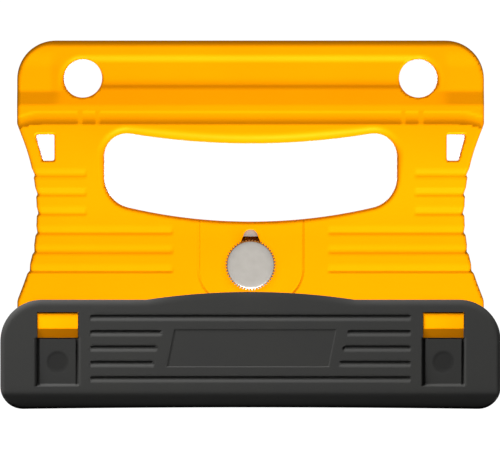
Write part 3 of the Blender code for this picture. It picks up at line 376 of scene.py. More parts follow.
blade_steel, tree, shader, place = new_material("ground_blade_steel")
split = add(tree, "ShaderNodeSeparateXYZ", {"Vector": place})
across = add(tree, "ShaderNodeMapping", {"Vector": place, "Scale": (1000 / 0.5, 1000 / 20, 1000 / 20)})
lines = add(tree, "ShaderNodeTexNoise", {"Vector": across.outputs["Vector"], "Scale": 1.0, "Detail": 4.0})
honed = add(tree, "ShaderNodeMath", {0: split.outputs["Y"], 1: BEVEL_Y * 0.001}, operation="LESS_THAN")
tint = add(tree, "ShaderNodeMix", {
    "Factor": honed.outputs["Value"], "A": linear("#b4b7ba"), "B": linear("#d9dbdd")}, data_type="RGBA")
rough = add(tree, "ShaderNodeMapRange", {"Value": lines.outputs["Fac"], "To Min": 0.22, "To Max": 0.42})
relief = add(tree, "ShaderNodeBump", {"Height": lines.outputs["Fac"], "Strength": 0.2, "Distance": 0.00005})
tree.links.new(tint.outputs["Result"], shader.inputs["Base Color"])
tree.links.new(rough.outputs["Result"], shader.inputs["Roughness"])
tree.links.new(relief.outputs["Normal"], shader.inputs["Normal"])
shader.inputs["Metallic"].default_value = 1.0
nodes["blade"].data.materials.clear()
nodes["blade"].data.materials.append(blade_steel)

# Carriage and guide plate: stamped mild steel sheet, zinc plated and passivated.
# The carriage slides behind the front wall, and the guide plate that it clamps to is screwed in
# above it, so that a little of the plate shows in the clamp's slot. Rolling leaves faint streaks.
plated_sheet, tree, shader, place = new_material("zinc_plated_steel_sheet")
along = add(tree, "ShaderNodeMapping", {"Vector": place, "Scale": (1000 / 12, 1000 / 0.6, 1000 / 12)})
streak = add(tree, "ShaderNodeTexNoise", {"Vector": along.outputs["Vector"], "Scale": 1.0, "Detail": 3.0})
cloud = add(tree, "ShaderNodeTexNoise", {"Vector": place, "Scale": 1000 / 5, "Detail": 3.0})
tint = add(tree, "ShaderNodeMix", {
    "Factor": cloud.outputs["Fac"], "A": linear("#b9b3ac"), "B": linear("#d2cdc6")}, data_type="RGBA")
rough = add(tree, "ShaderNodeMapRange", {"Value": streak.outputs["Fac"], "To Min": 0.3, "To Max": 0.5})
tree.links.new(tint.outputs["Result"], shader.inputs["Base Color"])
tree.links.new(rough.outputs["Result"], shader.inputs["Roughness"])
shader.inputs["Metallic"].default_value = 1.0
for name in ("blade_carriage", "guide_plate"):
    nodes[name].data.materials.clear()
    nodes[name].data.materials.append(plated_sheet)

# Small fasteners inside: the studs that carry the blade, the clamp's nut, stud and washer, and the
# guide plate's countersunk screws. Cold headed or turned steel, zinc plated, with a pale bloom.
zinc, tree, shader, place = new_material("zinc_plated_fastener_steel")
bloom = add(tree, "ShaderNodeTexNoise", {"Vector": place, "Scale": 1000 / 1.5, "Detail": 4.0})
tint = add(tree, "ShaderNodeMix", {
    "Factor": bloom.outputs["Fac"], "A": linear("#b3b4b1"), "B": linear("#d6d6d0")}, data_type="RGBA")
rough = add(tree, "ShaderNodeMapRange", {"Value": bloom.outputs["Fac"], "To Min": 0.24, "To Max": 0.44})
tree.links.new(tint.outputs["Result"], shader.inputs["Base Color"])
tree.links.new(rough.outputs["Result"], shader.inputs["Roughness"])
shader.inputs["Metallic"].default_value = 1.0
for name in ("blade_stud_left", "blade_stud_right", "carriage_nut", "clamp_stud", "clamp_washer",
             "guide_screw_left", "guide_screw_right"):
    nodes[name].data.materials.clear()
    nodes[name].data.materials.append(zinc)

# Front shell: the half of the handle that shows, moulded in the same yellow ABS.
# It has a thumb channel along the grip, a ridge and a finger valley under it, a web that thins
# towards the blade, grip grooves at its sides, and a shallow panel round the clamp's slot.
PARTING, CAVITY_FRONT, HOUSING_FRONT = 7.8, 9.6, 13.2
GRIP_Z, RIDGE_Y, RIDGE_Z, RIDGE_BLEND = 15.5, 45.65, 16.7, 0.7
WEB_Y, WEB_Z, WEB_RUN, VALLEY_Y, VALLEY_RUN, VALLEY_STEP = 38.4, 17.5, 44.25, 43.9, 1.6, 0.3
CREASE_Y, CREASE_DROP, CREASE_RUN, GRIP_SLOPE = 53.2, 0.35, 1.6, 0.2
CHANNEL_DEPTH, WALL_TOP_Y, WALL_RUN, CURVE_TOP_Y, CURVE_RUN = 1.2, 65.6, 3.8, 60.0, 6.8
slope_foot = RIDGE_Z - GRIP_SLOPE * (CREASE_Y - RIDGE_Y) - CREASE_DROP
END_R, END_RUN, END_SLOPE_RUN, END_SOFT = 9.5, 3.8, 5.3, 0.12
END_DROP, END_X, END_X_RUN, END_TOP_Y, END_Y_RUN = 0.6, 72.5, 5, 67, 7
BEND_DOWN, BEND_X, BEND_RUN = 1.8, 79, 11
SILL_R, LIP_R, LIP_EDGE_Y, LIP_EDGE_RUN, LIP_END_X, LIP_END_RUN = 1.6, 2.6, 12, 18, 58, 30
CORNER_X, CORNER_RUN = 74, 8
RIBS, RIB_SOFT = np.array([(58.6, 1.0), (65.45, 1.15)]), 0.25
SHORT_GROOVE_X, LONG_GROOVE_X, GROOVE_RUN, GROOVE_DEPTH = 62.4, 29.2, 1.6, 0.42
PANEL_HALF, PANEL_FOOT, PANEL_CORNER, PANEL_DEPTH = 20.3, -30.0, 12.8, 0.4
PANEL_TOP, PANEL_SOFT, PANEL_LINE, PANEL_ARC_X = 15, 0.6, 0.3, 15.5
SLOT_HALF, SLOT_TOP_Y, SLOT_FLARE, SLOT_FLARE_RUN, SLOT_EDGE_R = 2.75, -4.8, 0.42, 2.2, 0.3
LATCH_X, LATCH_HALF, LATCH_ROOT_Y, LATCH_TOP_Y, LATCH_GAP = 74.1, 7.8, -48.1, -34.2, 0.3
NOTCH_XS = (LATCH_X - LATCH_HALF - LATCH_GAP, LATCH_X + LATCH_HALF + LATCH_GAP)
NOTCH_YS = (LATCH_ROOT_Y - LATCH_GAP, LATCH_TOP_Y + LATCH_GAP)
FRONT_X_PITCH, FRONT_Y_PITCH = 0.8, 0.75


def slot_edge(x, y):
    """Distance into the clamp's slot: a capsule from behind the knob up to its round end, which
    flares by 0.42 mm a mm below that end."""
    half = SLOT_HALF + SLOT_FLARE * np.clip(SLOT_TOP_Y + 0.4 - y, 0, SLOT_FLARE_RUN)
    return half - np.hypot(x, y - np.clip(y, KNOB_Y - 0.3, SLOT_TOP_Y))


def front_outline(x, y):
    """The handle's edges and the clamp's slot."""
    return np.maximum(handle_edges(x, y).max(0), slot_edge(x, y))


def eased(t, half):
    """A ramp from 0 to 1 with corners blended over half on each side: the running mean of a clipped
    ramp, taken from the difference of its integral."""
    ends = np.stack([t - half, t + half])
    whole = np.clip(ends, 0, 1) ** 2 / 2 + np.maximum(ends - 1, 0)
    return (whole[1] - whole[0]) / (2 * half)


def grip_section(y):
    """Height along the middle of the grip: a level rim, a wall of 1.2 mm falling over 3.8 mm, a floor,
    and a curve that climbs as the fifth power to a crease. From there a slope runs up to the ridge,
    steeper by a square over its first 1.6 mm, and bends level over 0.7 mm each side of the ridge."""
    past = y - RIDGE_Y
    bend = np.maximum(past + RIDGE_BLEND, 0) ** 2 / (4 * RIDGE_BLEND)
    run = np.where(past < RIDGE_BLEND, bend, past)
    near_crease = np.clip((y - CREASE_Y + CREASE_RUN) / CREASE_RUN, 0, 1)
    slope = RIDGE_Z - GRIP_SLOPE * run - CREASE_DROP * near_crease**2
    wall = GRIP_Z - CHANNEL_DEPTH * smooth((WALL_TOP_Y - y) / WALL_RUN)
    curve = (slope_foot - GRIP_Z + CHANNEL_DEPTH) * np.clip((CURVE_TOP_Y - y) / CURVE_RUN, 0, 1) ** 5
    return np.where(y < CREASE_Y, slope, wall + curve)


def front_surface(x, y):
    """Front height before its edges are rounded. Down the handle come the grip, the ridge, a valley that
    is level, steps down 0.3 mm over 1.6 mm and climbs as the power 2.5, and the web, a half cosine wave
    down to the housing. The channel ends in a soft round about each hanging hole, and the grip falls
    0.6 mm beyond it. At the sides, ridge and valley bend down by 1.8 mm. Ribs in the valley climb partly
    evenly and partly as the cube. Grooves, the panel and a hollow line round it are taken off last."""
    ax = np.abs(x)
    reach = np.hypot(np.maximum(ax - HANG_X, 0), np.maximum(y - HANG_Y, 0))
    ended = smooth((END_R - reach) / END_RUN)
    end = GRIP_Z - END_DROP * smooth((ax - END_X) / END_X_RUN) * smooth((END_TOP_Y - y) / END_Y_RUN)
    end = RIDGE_Z - (RIDGE_Z - end) * eased((y - RIDGE_Y) / END_SLOPE_RUN - 0.02, END_SOFT)
    middle = grip_section(np.where(ax > HANG_X, np.minimum(y, WALL_TOP_Y - WALL_RUN), y))
    grip = np.where(ax > HANG_X, end + (middle - end) * ended, middle)
    yy = y + BEND_DOWN * smooth((ax - BEND_X) / BEND_RUN) ** 2
    floor_y = VALLEY_Y - VALLEY_RUN
    climb = np.clip((floor_y - yy) / (floor_y - WEB_Y), 0, 1) ** 2.5
    stepped = RIDGE_Z - VALLEY_STEP * smooth((VALLEY_Y - yy) / VALLEY_RUN)
    valley = stepped + (WEB_Z - RIDGE_Z + VALLEY_STEP) * climb
    beside = np.abs(ax[..., None] - RIBS[:, 0])
    rib = smooth((RIBS[:, 1] + RIB_SOFT - beside) / (2 * RIB_SOFT)).max(-1)
    up = np.clip((VALLEY_Y - y) / (VALLEY_Y - WEB_Y), 0, 1)
    rib_top = RIDGE_Z + (WEB_Z - RIDGE_Z) * (0.4 * up + 0.6 * up**3)
    valley = valley + rib * np.maximum(rib_top - valley, 0)
    wave = (1 + np.cos(np.pi * np.clip((WEB_Y - y) / WEB_RUN, 0, 1))) / 2
    under = np.where(yy > WEB_Y, valley, HOUSING_FRONT + (WEB_Z - HOUSING_FRONT) * wave)
    z = np.where(yy > RIDGE_Y - RIDGE_BLEND, np.minimum(grip, RIDGE_Z), under)
    short = sawtooth(y, GROOVE_ROWS[:3]) * smooth((ax - SHORT_GROOVE_X) / GROOVE_RUN)
    long = sawtooth(y, GROOVE_ROWS[3:]) * smooth((ax - LONG_GROOVE_X) / GROOVE_RUN)
    qx, qy = ax - (PANEL_HALF - PANEL_CORNER), PANEL_FOOT + PANEL_CORNER - y
    panel = np.hypot(np.maximum(qx, 0), np.maximum(qy, 0)) + np.minimum(np.maximum(qx, qy), 0) - PANEL_CORNER
    line = np.clip(1 - ((panel + 0.2) / PANEL_SOFT) ** 2, 0, 1)
    sunk = (PANEL_DEPTH * smooth(-panel / PANEL_SOFT) + PANEL_LINE * line) * (y < PANEL_TOP)
    return z - GROOVE_DEPTH * (short + long) - sunk


def front_heights(x, y):
    """Parting plane, roof of the blade chamber and the front. Edges fall as quarter rounds: 1.4 mm on the
    outline and up to 2.8 mm round the grip, less at its corners; 1.6 mm at the opening, growing to 4.2 mm
    at the middle of its lip; 0.6 mm at the holes and 0.3 mm at the slot."""
    edges = -handle_edges(x, y)
    ax = np.abs(x)
    middle = 0.55 + 0.45 * smooth((LIP_END_X - ax) / LIP_END_RUN)
    lip = SILL_R + LIP_R * smooth((y - LIP_EDGE_Y) / LIP_EDGE_RUN) * middle
    corner = smooth((ax - CORNER_X) / CORNER_RUN)
    grip = smooth((y - GRIP_EDGE_Y) / GRIP_EDGE_RUN) * (1 - 0.7 * corner)
    fall = np.stack([
        rounding(edges[0], EDGE_R + GRIP_EDGE_R * grip), rounding(edges[1], lip),
        rounding(edges[2], HOLE_EDGE_R), rounding(edges[3], HOLE_EDGE_R),
        rounding(-slot_edge(x, y), SLOT_EDGE_R)]).max(0)
    return np.stack([np.full_like(x, PARTING), np.full_like(x, CAVITY_FRONT), front_surface(x, y) - fall])


panel_xs = np.append(
    np.arange(PANEL_HALF - PANEL_CORNER, PANEL_ARC_X, 0.5), np.arange(PANEL_ARC_X, PANEL_HALF + 0.7, 0.27))
panel_ys = np.arange(PANEL_FOOT - 0.6, PANEL_FOOT + PANEL_CORNER + 1, 0.32)
rib_xs = (RIBS[:, :1] + (RIBS[:, 1:] + RIB_SOFT) * [-1, 1]).ravel()
front_xs = ruled(-BODY_HALF, BODY_HALF, FRONT_X_PITCH, both_sides([
    *chamber_xs, *panel_xs, *rib_xs, LONG_GROOVE_X, SHORT_GROOVE_X, *NOTCH_XS]))
front_ys = ruled(FOOT_Y, TOP_Y, FRONT_Y_PITCH, [
    *chamber_ys, CREASE_Y, CREASE_Y + 0.35, RIDGE_Y + RIDGE_BLEND, RIDGE_Y, RIDGE_Y - RIDGE_BLEND,
    VALLEY_Y, VALLEY_Y - VALLEY_RUN / 2, VALLEY_Y - VALLEY_RUN, WEB_Y, WEB_Y + 0.3,
    *NOTCH_YS, *groove_lines, *panel_ys])
front_grid = np.meshgrid(front_xs, front_ys, indexing="ij")
cx, cy = cell_middles(*front_grid)
across_notch = (np.abs(cx) > NOTCH_XS[0]) & (np.abs(cx) < NOTCH_XS[1])
notched = across_notch & (cy > NOTCH_YS[0]) & (cy < NOTCH_YS[1])
front_shell = layered_solid(
    "front_shell_moulding", *front_grid, front_outline, front_heights,
    [~notched & ~in_chamber(cx, cy), ~notched], outer=(2,))
front_shell.data.materials.append(yellow_abs)
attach(front_shell, "handle")
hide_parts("front_shell")

# Latch tongues: two springy tongues in notches of the front shell, moulded with it.
# Each has a lug with a flat catch and a ramp, which stands in a window of the cover.
LATCH_BACK, LATCH_CATCH, LATCH_FACE = 11.2, 15.3, 12.9
LATCH_FLAT, LATCH_RAMP, LATCH_EASE = 5.9, 9.4, 0.12


def swept_bar(name, section, x0, x1, ease):
    """A closed (Y, Z) section carried along X. At both ends the section shrinks along its normals, as
    a quarter round of size ease, and is closed by a fan of narrow faces to its middle."""
    ahead, back = np.roll(section, -1, 0), np.roll(section, 1, 0)
    tangent = ahead - back
    tangent /= np.linalg.norm(tangent, axis=1, keepdims=True)
    inward = np.stack([-tangent[:, 1], tangent[:, 0]], 1)
    a = np.radians(np.linspace(0, 90, 5))
    step_in, shrink = ease * (1 - np.cos(a)), ease * (1 - np.sin(a))
    place = np.concatenate([x0 + step_in, x1 - step_in[::-1]])
    shrink = np.concatenate([shrink, shrink[::-1]])
    rings = section[None] + shrink[:, None, None] * inward[None]
    centre = np.broadcast_to(section.mean(0), rings[:1].shape)
    rings = np.concatenate([centre, rings, centre])
    place = np.concatenate([place[:1], place, place[-1:]])
    m, n = rings.shape[:2]
    points = np.concatenate([np.broadcast_to(place[:, None, None], (m, n, 1)), rings], 2).reshape(-1, 3)
    i, j = np.meshgrid(np.arange(m - 1), np.arange(n), indexing="ij")
    k = (j + 1) % n
    faces = np.stack([i * n + j, i * n + k, (i + 1) * n + k, (i + 1) * n + j], -1).reshape(-1, 4)
    return mesh_object(name, points, faces)


latch_section = rounded([
    (LATCH_ROOT_Y, LATCH_BACK, 0.3), (LATCH_TOP_Y, LATCH_BACK, 0.3),
    (LATCH_TOP_Y, LATCH_CATCH, LATCH_EASE), (LATCH_TOP_Y - LATCH_FLAT, LATCH_CATCH, 0.4),
    (LATCH_TOP_Y - LATCH_RAMP, LATCH_FACE, 0.4), (LATCH_ROOT_Y, LATCH_FACE, 0.3)], 5)
for side, name in ((-1, "left"), (1, "right")):
    ends = side * LATCH_X - LATCH_HALF, side * LATCH_X + LATCH_HALF
    latch = swept_bar(f"latch_tongue_{name}_moulding", latch_section, *ends, LATCH_EASE)
    latch.data.materials.append(yellow_abs)
    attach(latch, f"latch_tongue_{name}")
    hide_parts(f"latch_{name}")

# Shell screws: six thread-forming screws of 3.3 mm with pan heads and a cross recess, zinc plated,
# driven from the back into bosses of the front shell.
SCREW_FACE, SCREW_HEAD, SCREW_SEAT, SCREW_SHANK, SCREW_TIP = 0.4, 3.2, 2.4, 1.65, 9.4
FACE_R, FACE_STEPS, RECESS_DEPTH, RECESS_HALF, RECESS_REACH = 2.7, 22, 1.3, 0.62, 1.95


def turned_piece(name, radius, height, angles, centre):
    """Radius and height on a grid of angle by profile, turned about an upright axis at a centre. The
    first and last points of the profile lie on the axis, so the ends are closed."""
    x = centre[0] + radius * np.cos(angles)[:, None]
    y = centre[1] + radius * np.sin(angles)[:, None]
    points = np.stack([x, y, np.broadcast_to(height, x.shape)], -1).reshape(-1, 3)
    m, n = x.shape
    i, j = np.meshgrid(np.arange(m), np.arange(n - 1), indexing="ij")
    k = (i + 1) % m
    faces = np.stack([i * n + j, i * n + j + 1, k * n + j + 1, k * n + j], -1).reshape(-1, 4)
    return mesh_object(name, points, faces)


screw_angles = np.linspace(0, 2 * np.pi, 96, endpoint=False)
face_radii = np.linspace(0, FACE_R, FACE_STEPS)
screw_profile = np.concatenate([
    np.stack([face_radii, np.full(FACE_STEPS, SCREW_FACE)], 1),
    [(2.95, 0.47), (3.13, 0.65), (SCREW_HEAD, 0.9), (SCREW_HEAD, 2.3), (3.1, SCREW_SEAT),
     (1.75, SCREW_SEAT), (SCREW_SHANK, 2.6), (SCREW_SHANK, 8.6), (0.9, SCREW_TIP), (0, SCREW_TIP)]])
arm = np.minimum(np.abs(np.sin(screw_angles)), np.abs(np.cos(screw_angles)))[:, None] * screw_profile[:, 0]
cross = smooth((RECESS_HALF - arm) / 0.25) * smooth((RECESS_REACH - screw_profile[:, 0]) / 0.5)
on_face = np.arange(len(screw_profile)) < FACE_STEPS
screw_height = screw_profile[:, 1] + np.where(on_face, RECESS_DEPTH * cross, 0.0)
screw_radius = np.broadcast_to(screw_profile[:, 0], screw_height.shape)
for i, (x, y) in enumerate([(s * x, y) for x, y in SCREWS for s in (-1, 1)]):
    screw = turned_piece(
        f"shell_screw_{i + 1}_crosshead", screw_radius, screw_height, screw_angles[::-1], (x, y))
    screw.data.materials.append(zinc)
    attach(screw, "handle")
    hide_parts(f"shell_screw_{i + 1}")

# Clamp knob: turned from bar with a straight knurl of 50 teeth, faced off and nickel plated.
# It turns the stud that draws the carriage's nut up against the guide plate.
KNOB_R, KNOB_FACE, KNOB_BACK, KNURL_DEPTH, TEETH = 9.75, 20.4, 14.4, 0.6, 50

knob_angles = np.linspace(0, 2 * np.pi, TEETH * 16, endpoint=False)
knob_profile = np.array([
    (0, KNOB_FACE), (3, KNOB_FACE), (6, KNOB_FACE), (8.83, KNOB_FACE), (8.95, 20.36), (9.03, 20.27),
    (KNOB_R, 19.7), (KNOB_R, 19.4), (KNOB_R, 17.4), (KNOB_R, 15.4), (KNOB_R, 15.1), (9.3, 14.6),
    (9.0, 14.42), (8.8, KNOB_BACK), (5, KNOB_BACK), (0, KNOB_BACK)])
tooth = KNOB_R - KNURL_DEPTH * np.sin(knob_angles * TEETH / 2)[:, None] ** 2
knob_radius = np.minimum(knob_profile[:, 0], tooth)
knob = turned_piece("clamp_knob_turning", knob_radius, knob_profile[:, 1], knob_angles, (0, KNOB_Y))

# Nickel plate over a faced end: pale warm grey, with the concentric marks of the turning tool.
# The marks, about 0.1 mm apart, are drawn at 0.4 mm to show.
nickel, tree, shader, place = new_material("turned_nickel_plate")
centred = add(tree, "ShaderNodeMapping", {"Vector": place, "Location": (0, -KNOB_Y * 0.001, 0)})
rings = add(tree, "ShaderNodeTexWave", {
    "Vector": centred.outputs["Vector"], "Scale": 1000 / 0.4 / 20, "Distortion": 1.5,
    "Detail": 2.0, "Detail Scale": 2.0}, wave_type="RINGS", rings_direction="Z")
sheen = add(tree, "ShaderNodeTexNoise", {"Vector": place, "Scale": 1000 / 3, "Detail": 4.0})
tint = add(tree, "ShaderNodeMix", {
    "Factor": sheen.outputs["Fac"], "A": linear("#bdb8b0"), "B": linear("#d0cbc4")}, data_type="RGBA")
rough = add(tree, "ShaderNodeMapRange", {"Value": rings.outputs["Fac"], "To Min": 0.33, "To Max": 0.4})
relief = add(tree, "ShaderNodeBump", {"Height": rings.outputs["Fac"], "Strength": 0.04, "Distance": 0.00005})
tree.links.new(tint.outputs["Result"], shader.inputs["Base Color"])
tree.links.new(rough.outputs["Result"], shader.inputs["Roughness"])
tree.links.new(relief.outputs["Normal"], shader.inputs["Normal"])
shader.inputs["Metallic"].default_value = 1.0
knob.data.materials.append(nickel)
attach(knob, "knob")
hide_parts("clamp_knob")

# Blade cover: a flat sleeve moulded in black polypropylene that pushes over the blade end.
# Its front has finger lines with a steep upper side, two latch windows with finger pockets and
# round pin marks under them, a plain slanted field, and a low hump that reaches up to the knob.
COVER_HALF, COVER_FOOT, COVER_TOP, HUMP_HALF, HUMP_RISE = 96.2, -70.6, -29.0, 40.0, 3.0
COVER_FOOT_R, COVER_TOP_R, FOOT_RUN, FOOT_FALL = 8.7, 16, 5.4, 3.4
FOOT_LIFT, FOOT_BOW, FOOT_BOW_Y = 0.2, 0.6, -60
COVER_FRONT, SLEEVE_FRONT, SLEEVE_BACK, SLEEVE_HALF, SLEEVE_FLOOR = 16.0, 13.5, 2.0, 90.1, -67.6
WINDOW_HALF, WINDOW_TOP, WINDOW_FOOT, POCKET_HALF, POCKET_FOOT = 7.95, -33.75, -43.6, 8.15, -62.3
POCKET_SOFT, POCKET_SIDE, POCKET_TOP_DEPTH, POCKET_FALL = 0.9, 0.15, 0.5, 1.2
CHANNEL_WIDE, CHANNEL_SUNK, PIN_Y, PIN_R, PIN_DEPTH = 1.3, 2.2, -52.95, 4.4, 0.12
EDGE_TOP_Y, EDGE_TOP_RUN, EDGE_FOOT_Y, EDGE_FOOT_RUN, CROWN_RUN = -44.5, 14, -62, 4, 2.6
LINE_PITCH, LINE_DEPTH, LINE_HEIGHT, LINE_CORNER, LINE_FLOOR, LINES_HALF = 5.9, 0.62, 2.8, 1.0, 1.25, 61.7
LINE_TOPS = -34.7 - LINE_PITCH * np.arange(5)
GAP_HALF, GAP_LEAN = 35.7, 0.26
FIELD_X, FIELD_Y, FIELD_HALF, FIELD_TALL, FIELD_LEAN, FIELD_DEPTH = 0.4, -47.6, 31.4, 7.4, 0.2, 0.3
COVER_X_PITCH, COVER_Y_PITCH = 0.8, 0.75

hump_bow = (HUMP_HALF**2 + HUMP_RISE**2) / (2 * HUMP_RISE)
hump_lean = math.degrees(math.asin(HUMP_HALF / hump_bow))
foot_y = COVER_FOOT + FOOT_LIFT
foot_x = np.linspace(0, COVER_HALF - COVER_FOOT_R, 16)
cover_path = np.concatenate([
    np.stack([foot_x, foot_y - FOOT_BOW * (foot_x / foot_x[-1]) ** 2], 1),
    arc(foot_x[-1], foot_y - FOOT_BOW + COVER_FOOT_R, COVER_FOOT_R, 270, 360, 14),
    arc(COVER_HALF - COVER_TOP_R, COVER_TOP - COVER_TOP_R, COVER_TOP_R, 0, 90, 20),
    arc(0, COVER_TOP + HUMP_RISE - hump_bow, hump_bow, 90 - hump_lean, 90, 24)])


def cover_outline(x, y):
    """Distance to the cover's outline, from one half of it. Its foot bows by 0.6 mm as a square."""
    return edge_distance(np.abs(x), y, cover_path)


def finger_line(x, y, x0, x1, top):
    """Depth of one finger line: a steep wall round a bar with rounded ends, a level floor of 1.25 mm
    under its upper side, then a hollow ramp back to the face. It is the lesser of wall and floor."""
    qx = np.abs(x - (x0 + x1) / 2) - ((x1 - x0) / 2 - LINE_CORNER)
    qy = np.abs(y - (top - LINE_HEIGHT / 2)) - (LINE_HEIGHT / 2 - LINE_CORNER)
    inward = LINE_CORNER - np.hypot(np.maximum(qx, 0), np.maximum(qy, 0)) - np.minimum(np.maximum(qx, qy), 0)
    floor = (1 - np.clip((top - LINE_FLOOR - y) / 1.5, 0, 1)) ** 1.6
    return LINE_DEPTH * np.minimum(smooth(inward / 0.25), np.where(inward > 0, floor, 0))


def cover_heights(x, y):
    """Back, two sleeve walls and front. The foot of both faces slopes off by 3.4 mm over 5.4 mm, with a
    soft start. The top edge falls as a square over 2.6 mm, hardly at the hump, and the others as quarter
    rounds. Lines, the field, pin marks and pockets, which deepen towards their foot and have a narrow
    channel at each side, are taken off the front."""
    ax = np.abs(x)
    inward = -cover_outline(x, y)
    down = (COVER_FOOT + FOOT_RUN - y) / FOOT_RUN
    foot = FOOT_FALL * (down + np.sqrt(down**2 + 0.02)) / 2
    at_top, at_foot = smooth((y - EDGE_TOP_Y) / EDGE_TOP_RUN), smooth((EDGE_FOOT_Y - y) / EDGE_FOOT_RUN)
    edge = rounding(inward, 2.0 - at_foot)
    crown = (0.1 + 0.7 * smooth((ax - 20) / 30)) * np.clip(1 - inward / CROWN_RUN, 0, 1) ** 2
    front = COVER_FRONT - foot - edge - (crown - edge) * at_top
    back = foot + edge
    depth = finger_line(x, y, -LINES_HALF, LINES_HALF, LINE_TOPS[0])
    depth = depth + finger_line(x, y, -LINES_HALF, LINES_HALF, LINE_TOPS[4])
    for i in (1, 2, 3):
        shift = GAP_LEAN * LINE_PITCH * (2 - i)
        depth = depth + finger_line(x, y, -LINES_HALF, shift - GAP_HALF, LINE_TOPS[i])
        depth = depth + finger_line(x, y, shift + GAP_HALF, LINES_HALF, LINE_TOPS[i])
    off_field = np.abs(x - FIELD_X - FIELD_LEAN * (y - FIELD_Y))
    field = np.minimum(FIELD_HALF - off_field, FIELD_TALL - np.abs(y - FIELD_Y))
    depth = depth + FIELD_DEPTH * smooth(field / 0.45)
    u = np.abs(ax - LATCH_X)
    within = POCKET_HALF - u
    pocket = POCKET_TOP_DEPTH + POCKET_FALL * np.clip((WINDOW_FOOT - y) / (WINDOW_FOOT - POCKET_FOOT), 0, 1)
    pocket = np.maximum(pocket, CHANNEL_SUNK * smooth((CHANNEL_WIDE - within) / POCKET_SIDE))
    wall = np.minimum(smooth(within / POCKET_SIDE), smooth((y - POCKET_FOOT) / POCKET_SOFT))
    pocket = pocket * wall * (y < WINDOW_FOOT + 0.01)
    dimple = PIN_DEPTH * smooth((PIN_R + 0.2 - np.hypot(u, y - PIN_Y)) / 1.6)
    front = front - depth - pocket - dimple
    return np.stack([back, np.full_like(x, SLEEVE_BACK), np.full_like(x, SLEEVE_FRONT), front])


edge_rows = np.array([0.08, 0.25, 0.5, 0.85, 1.3, 2.0])
channel_xs = (POCKET_HALF - CHANNEL_WIDE, POCKET_HALF - CHANNEL_WIDE + POCKET_SIDE)
pocket_xs = LATCH_X + np.array(both_sides([POCKET_HALF, WINDOW_HALF, *channel_xs]))
field_xs = [FIELD_X + v for v in both_sides([FIELD_HALF, FIELD_HALF - 0.4])]
field_ys = [FIELD_Y + v for v in both_sides([FIELD_TALL, FIELD_TALL - 0.45])]
line_ys = (LINE_TOPS[:, None] - [0.0, 0.12, 0.25, LINE_FLOOR, 1.5, 1.85, 2.3, LINE_HEIGHT]).ravel()
cover_xs = ruled(-COVER_HALF, COVER_HALF, COVER_X_PITCH, both_sides([
    SLEEVE_HALF, *(COVER_HALF - edge_rows), *pocket_xs, LINES_HALF, LINES_HALF - 0.5]) + field_xs)
cover_ys = ruled(foot_y, COVER_TOP + HUMP_RISE, COVER_Y_PITCH, [
    *(foot_y + edge_rows), SLEEVE_FLOOR, COVER_TOP, WINDOW_TOP, WINDOW_FOOT,
    POCKET_FOOT, POCKET_FOOT + 0.4, POCKET_FOOT + POCKET_SOFT, *field_ys, *line_ys])
# The grid leans with the sides of the field, stands upright again at the outer ends of the lines, and
# bows with the foot.
cover_x, cover_y = np.meshgrid(cover_xs, cover_ys, indexing="ij")
cover_x = cover_x + FIELD_LEAN * (cover_y - FIELD_Y) * np.clip((58 - np.abs(cover_x)) / 20, 0, 1)
near_foot = np.clip((FOOT_BOW_Y - cover_y) / (FOOT_BOW_Y - foot_y), 0, 1)
cover_y = cover_y - FOOT_BOW * np.minimum(np.abs(cover_x) / foot_x[-1], 1) ** 2 * near_foot
cx, cy = cell_middles(cover_x, cover_y)
sleeve = (np.abs(cx) < SLEEVE_HALF) & (cy > SLEEVE_FLOOR)
window = (np.abs(np.abs(cx) - LATCH_X) < WINDOW_HALF) & (cy > WINDOW_FOOT) & (cy < WINDOW_TOP)
cover = layered_solid(
    "blade_cover_moulding", cover_x, cover_y, cover_outline, cover_heights,
    [cy < COVER_TOP, ~sleeve & (cy < COVER_TOP), ~window], outer=(0, 3))

# Black polypropylene, injection moulded: a soft charcoal satin with a fine grain and faint flow marks. A
# darker disc is painted
# # round each pin mark under the pockets as shade, standing for a recess deeper than the dimple modelled
# there. The grain of 0.15 mm is drawn at 0.6 mm to show.
black_pp, tree, shader, place = new_material("moulded_black_polypropylene")
drift = add(tree, "ShaderNodeTexNoise", {"Vector": place, "Scale": 1000 / 14, "Detail": 3.0})
tone = add(tree, "ShaderNodeMix", {
    "Factor": drift.outputs["Fac"], "A": linear("#2f2f2f"), "B": linear("#31312f")}, data_type="RGBA")
grain = add(tree, "ShaderNodeTexNoise", {"Vector": place, "Scale": 1000 / 0.6, "Detail": 2.0})
rough = add(tree, "ShaderNodeMapRange", {"Value": drift.outputs["Fac"], "To Min": 0.48, "To Max": 0.58})
relief = add(tree, "ShaderNodeBump", {"Height": grain.outputs["Fac"], "Strength": 0.2, "Distance": 0.0001})
split = add(tree, "ShaderNodeSeparateXYZ", {"Vector": place})
beside = add(tree, "ShaderNodeMath", {0: split.outputs["X"]}, operation="ABSOLUTE")
folded = add(tree, "ShaderNodeCombineXYZ", {
    "X": beside.outputs["Value"], "Y": split.outputs["Y"], "Z": split.outputs["Z"]})
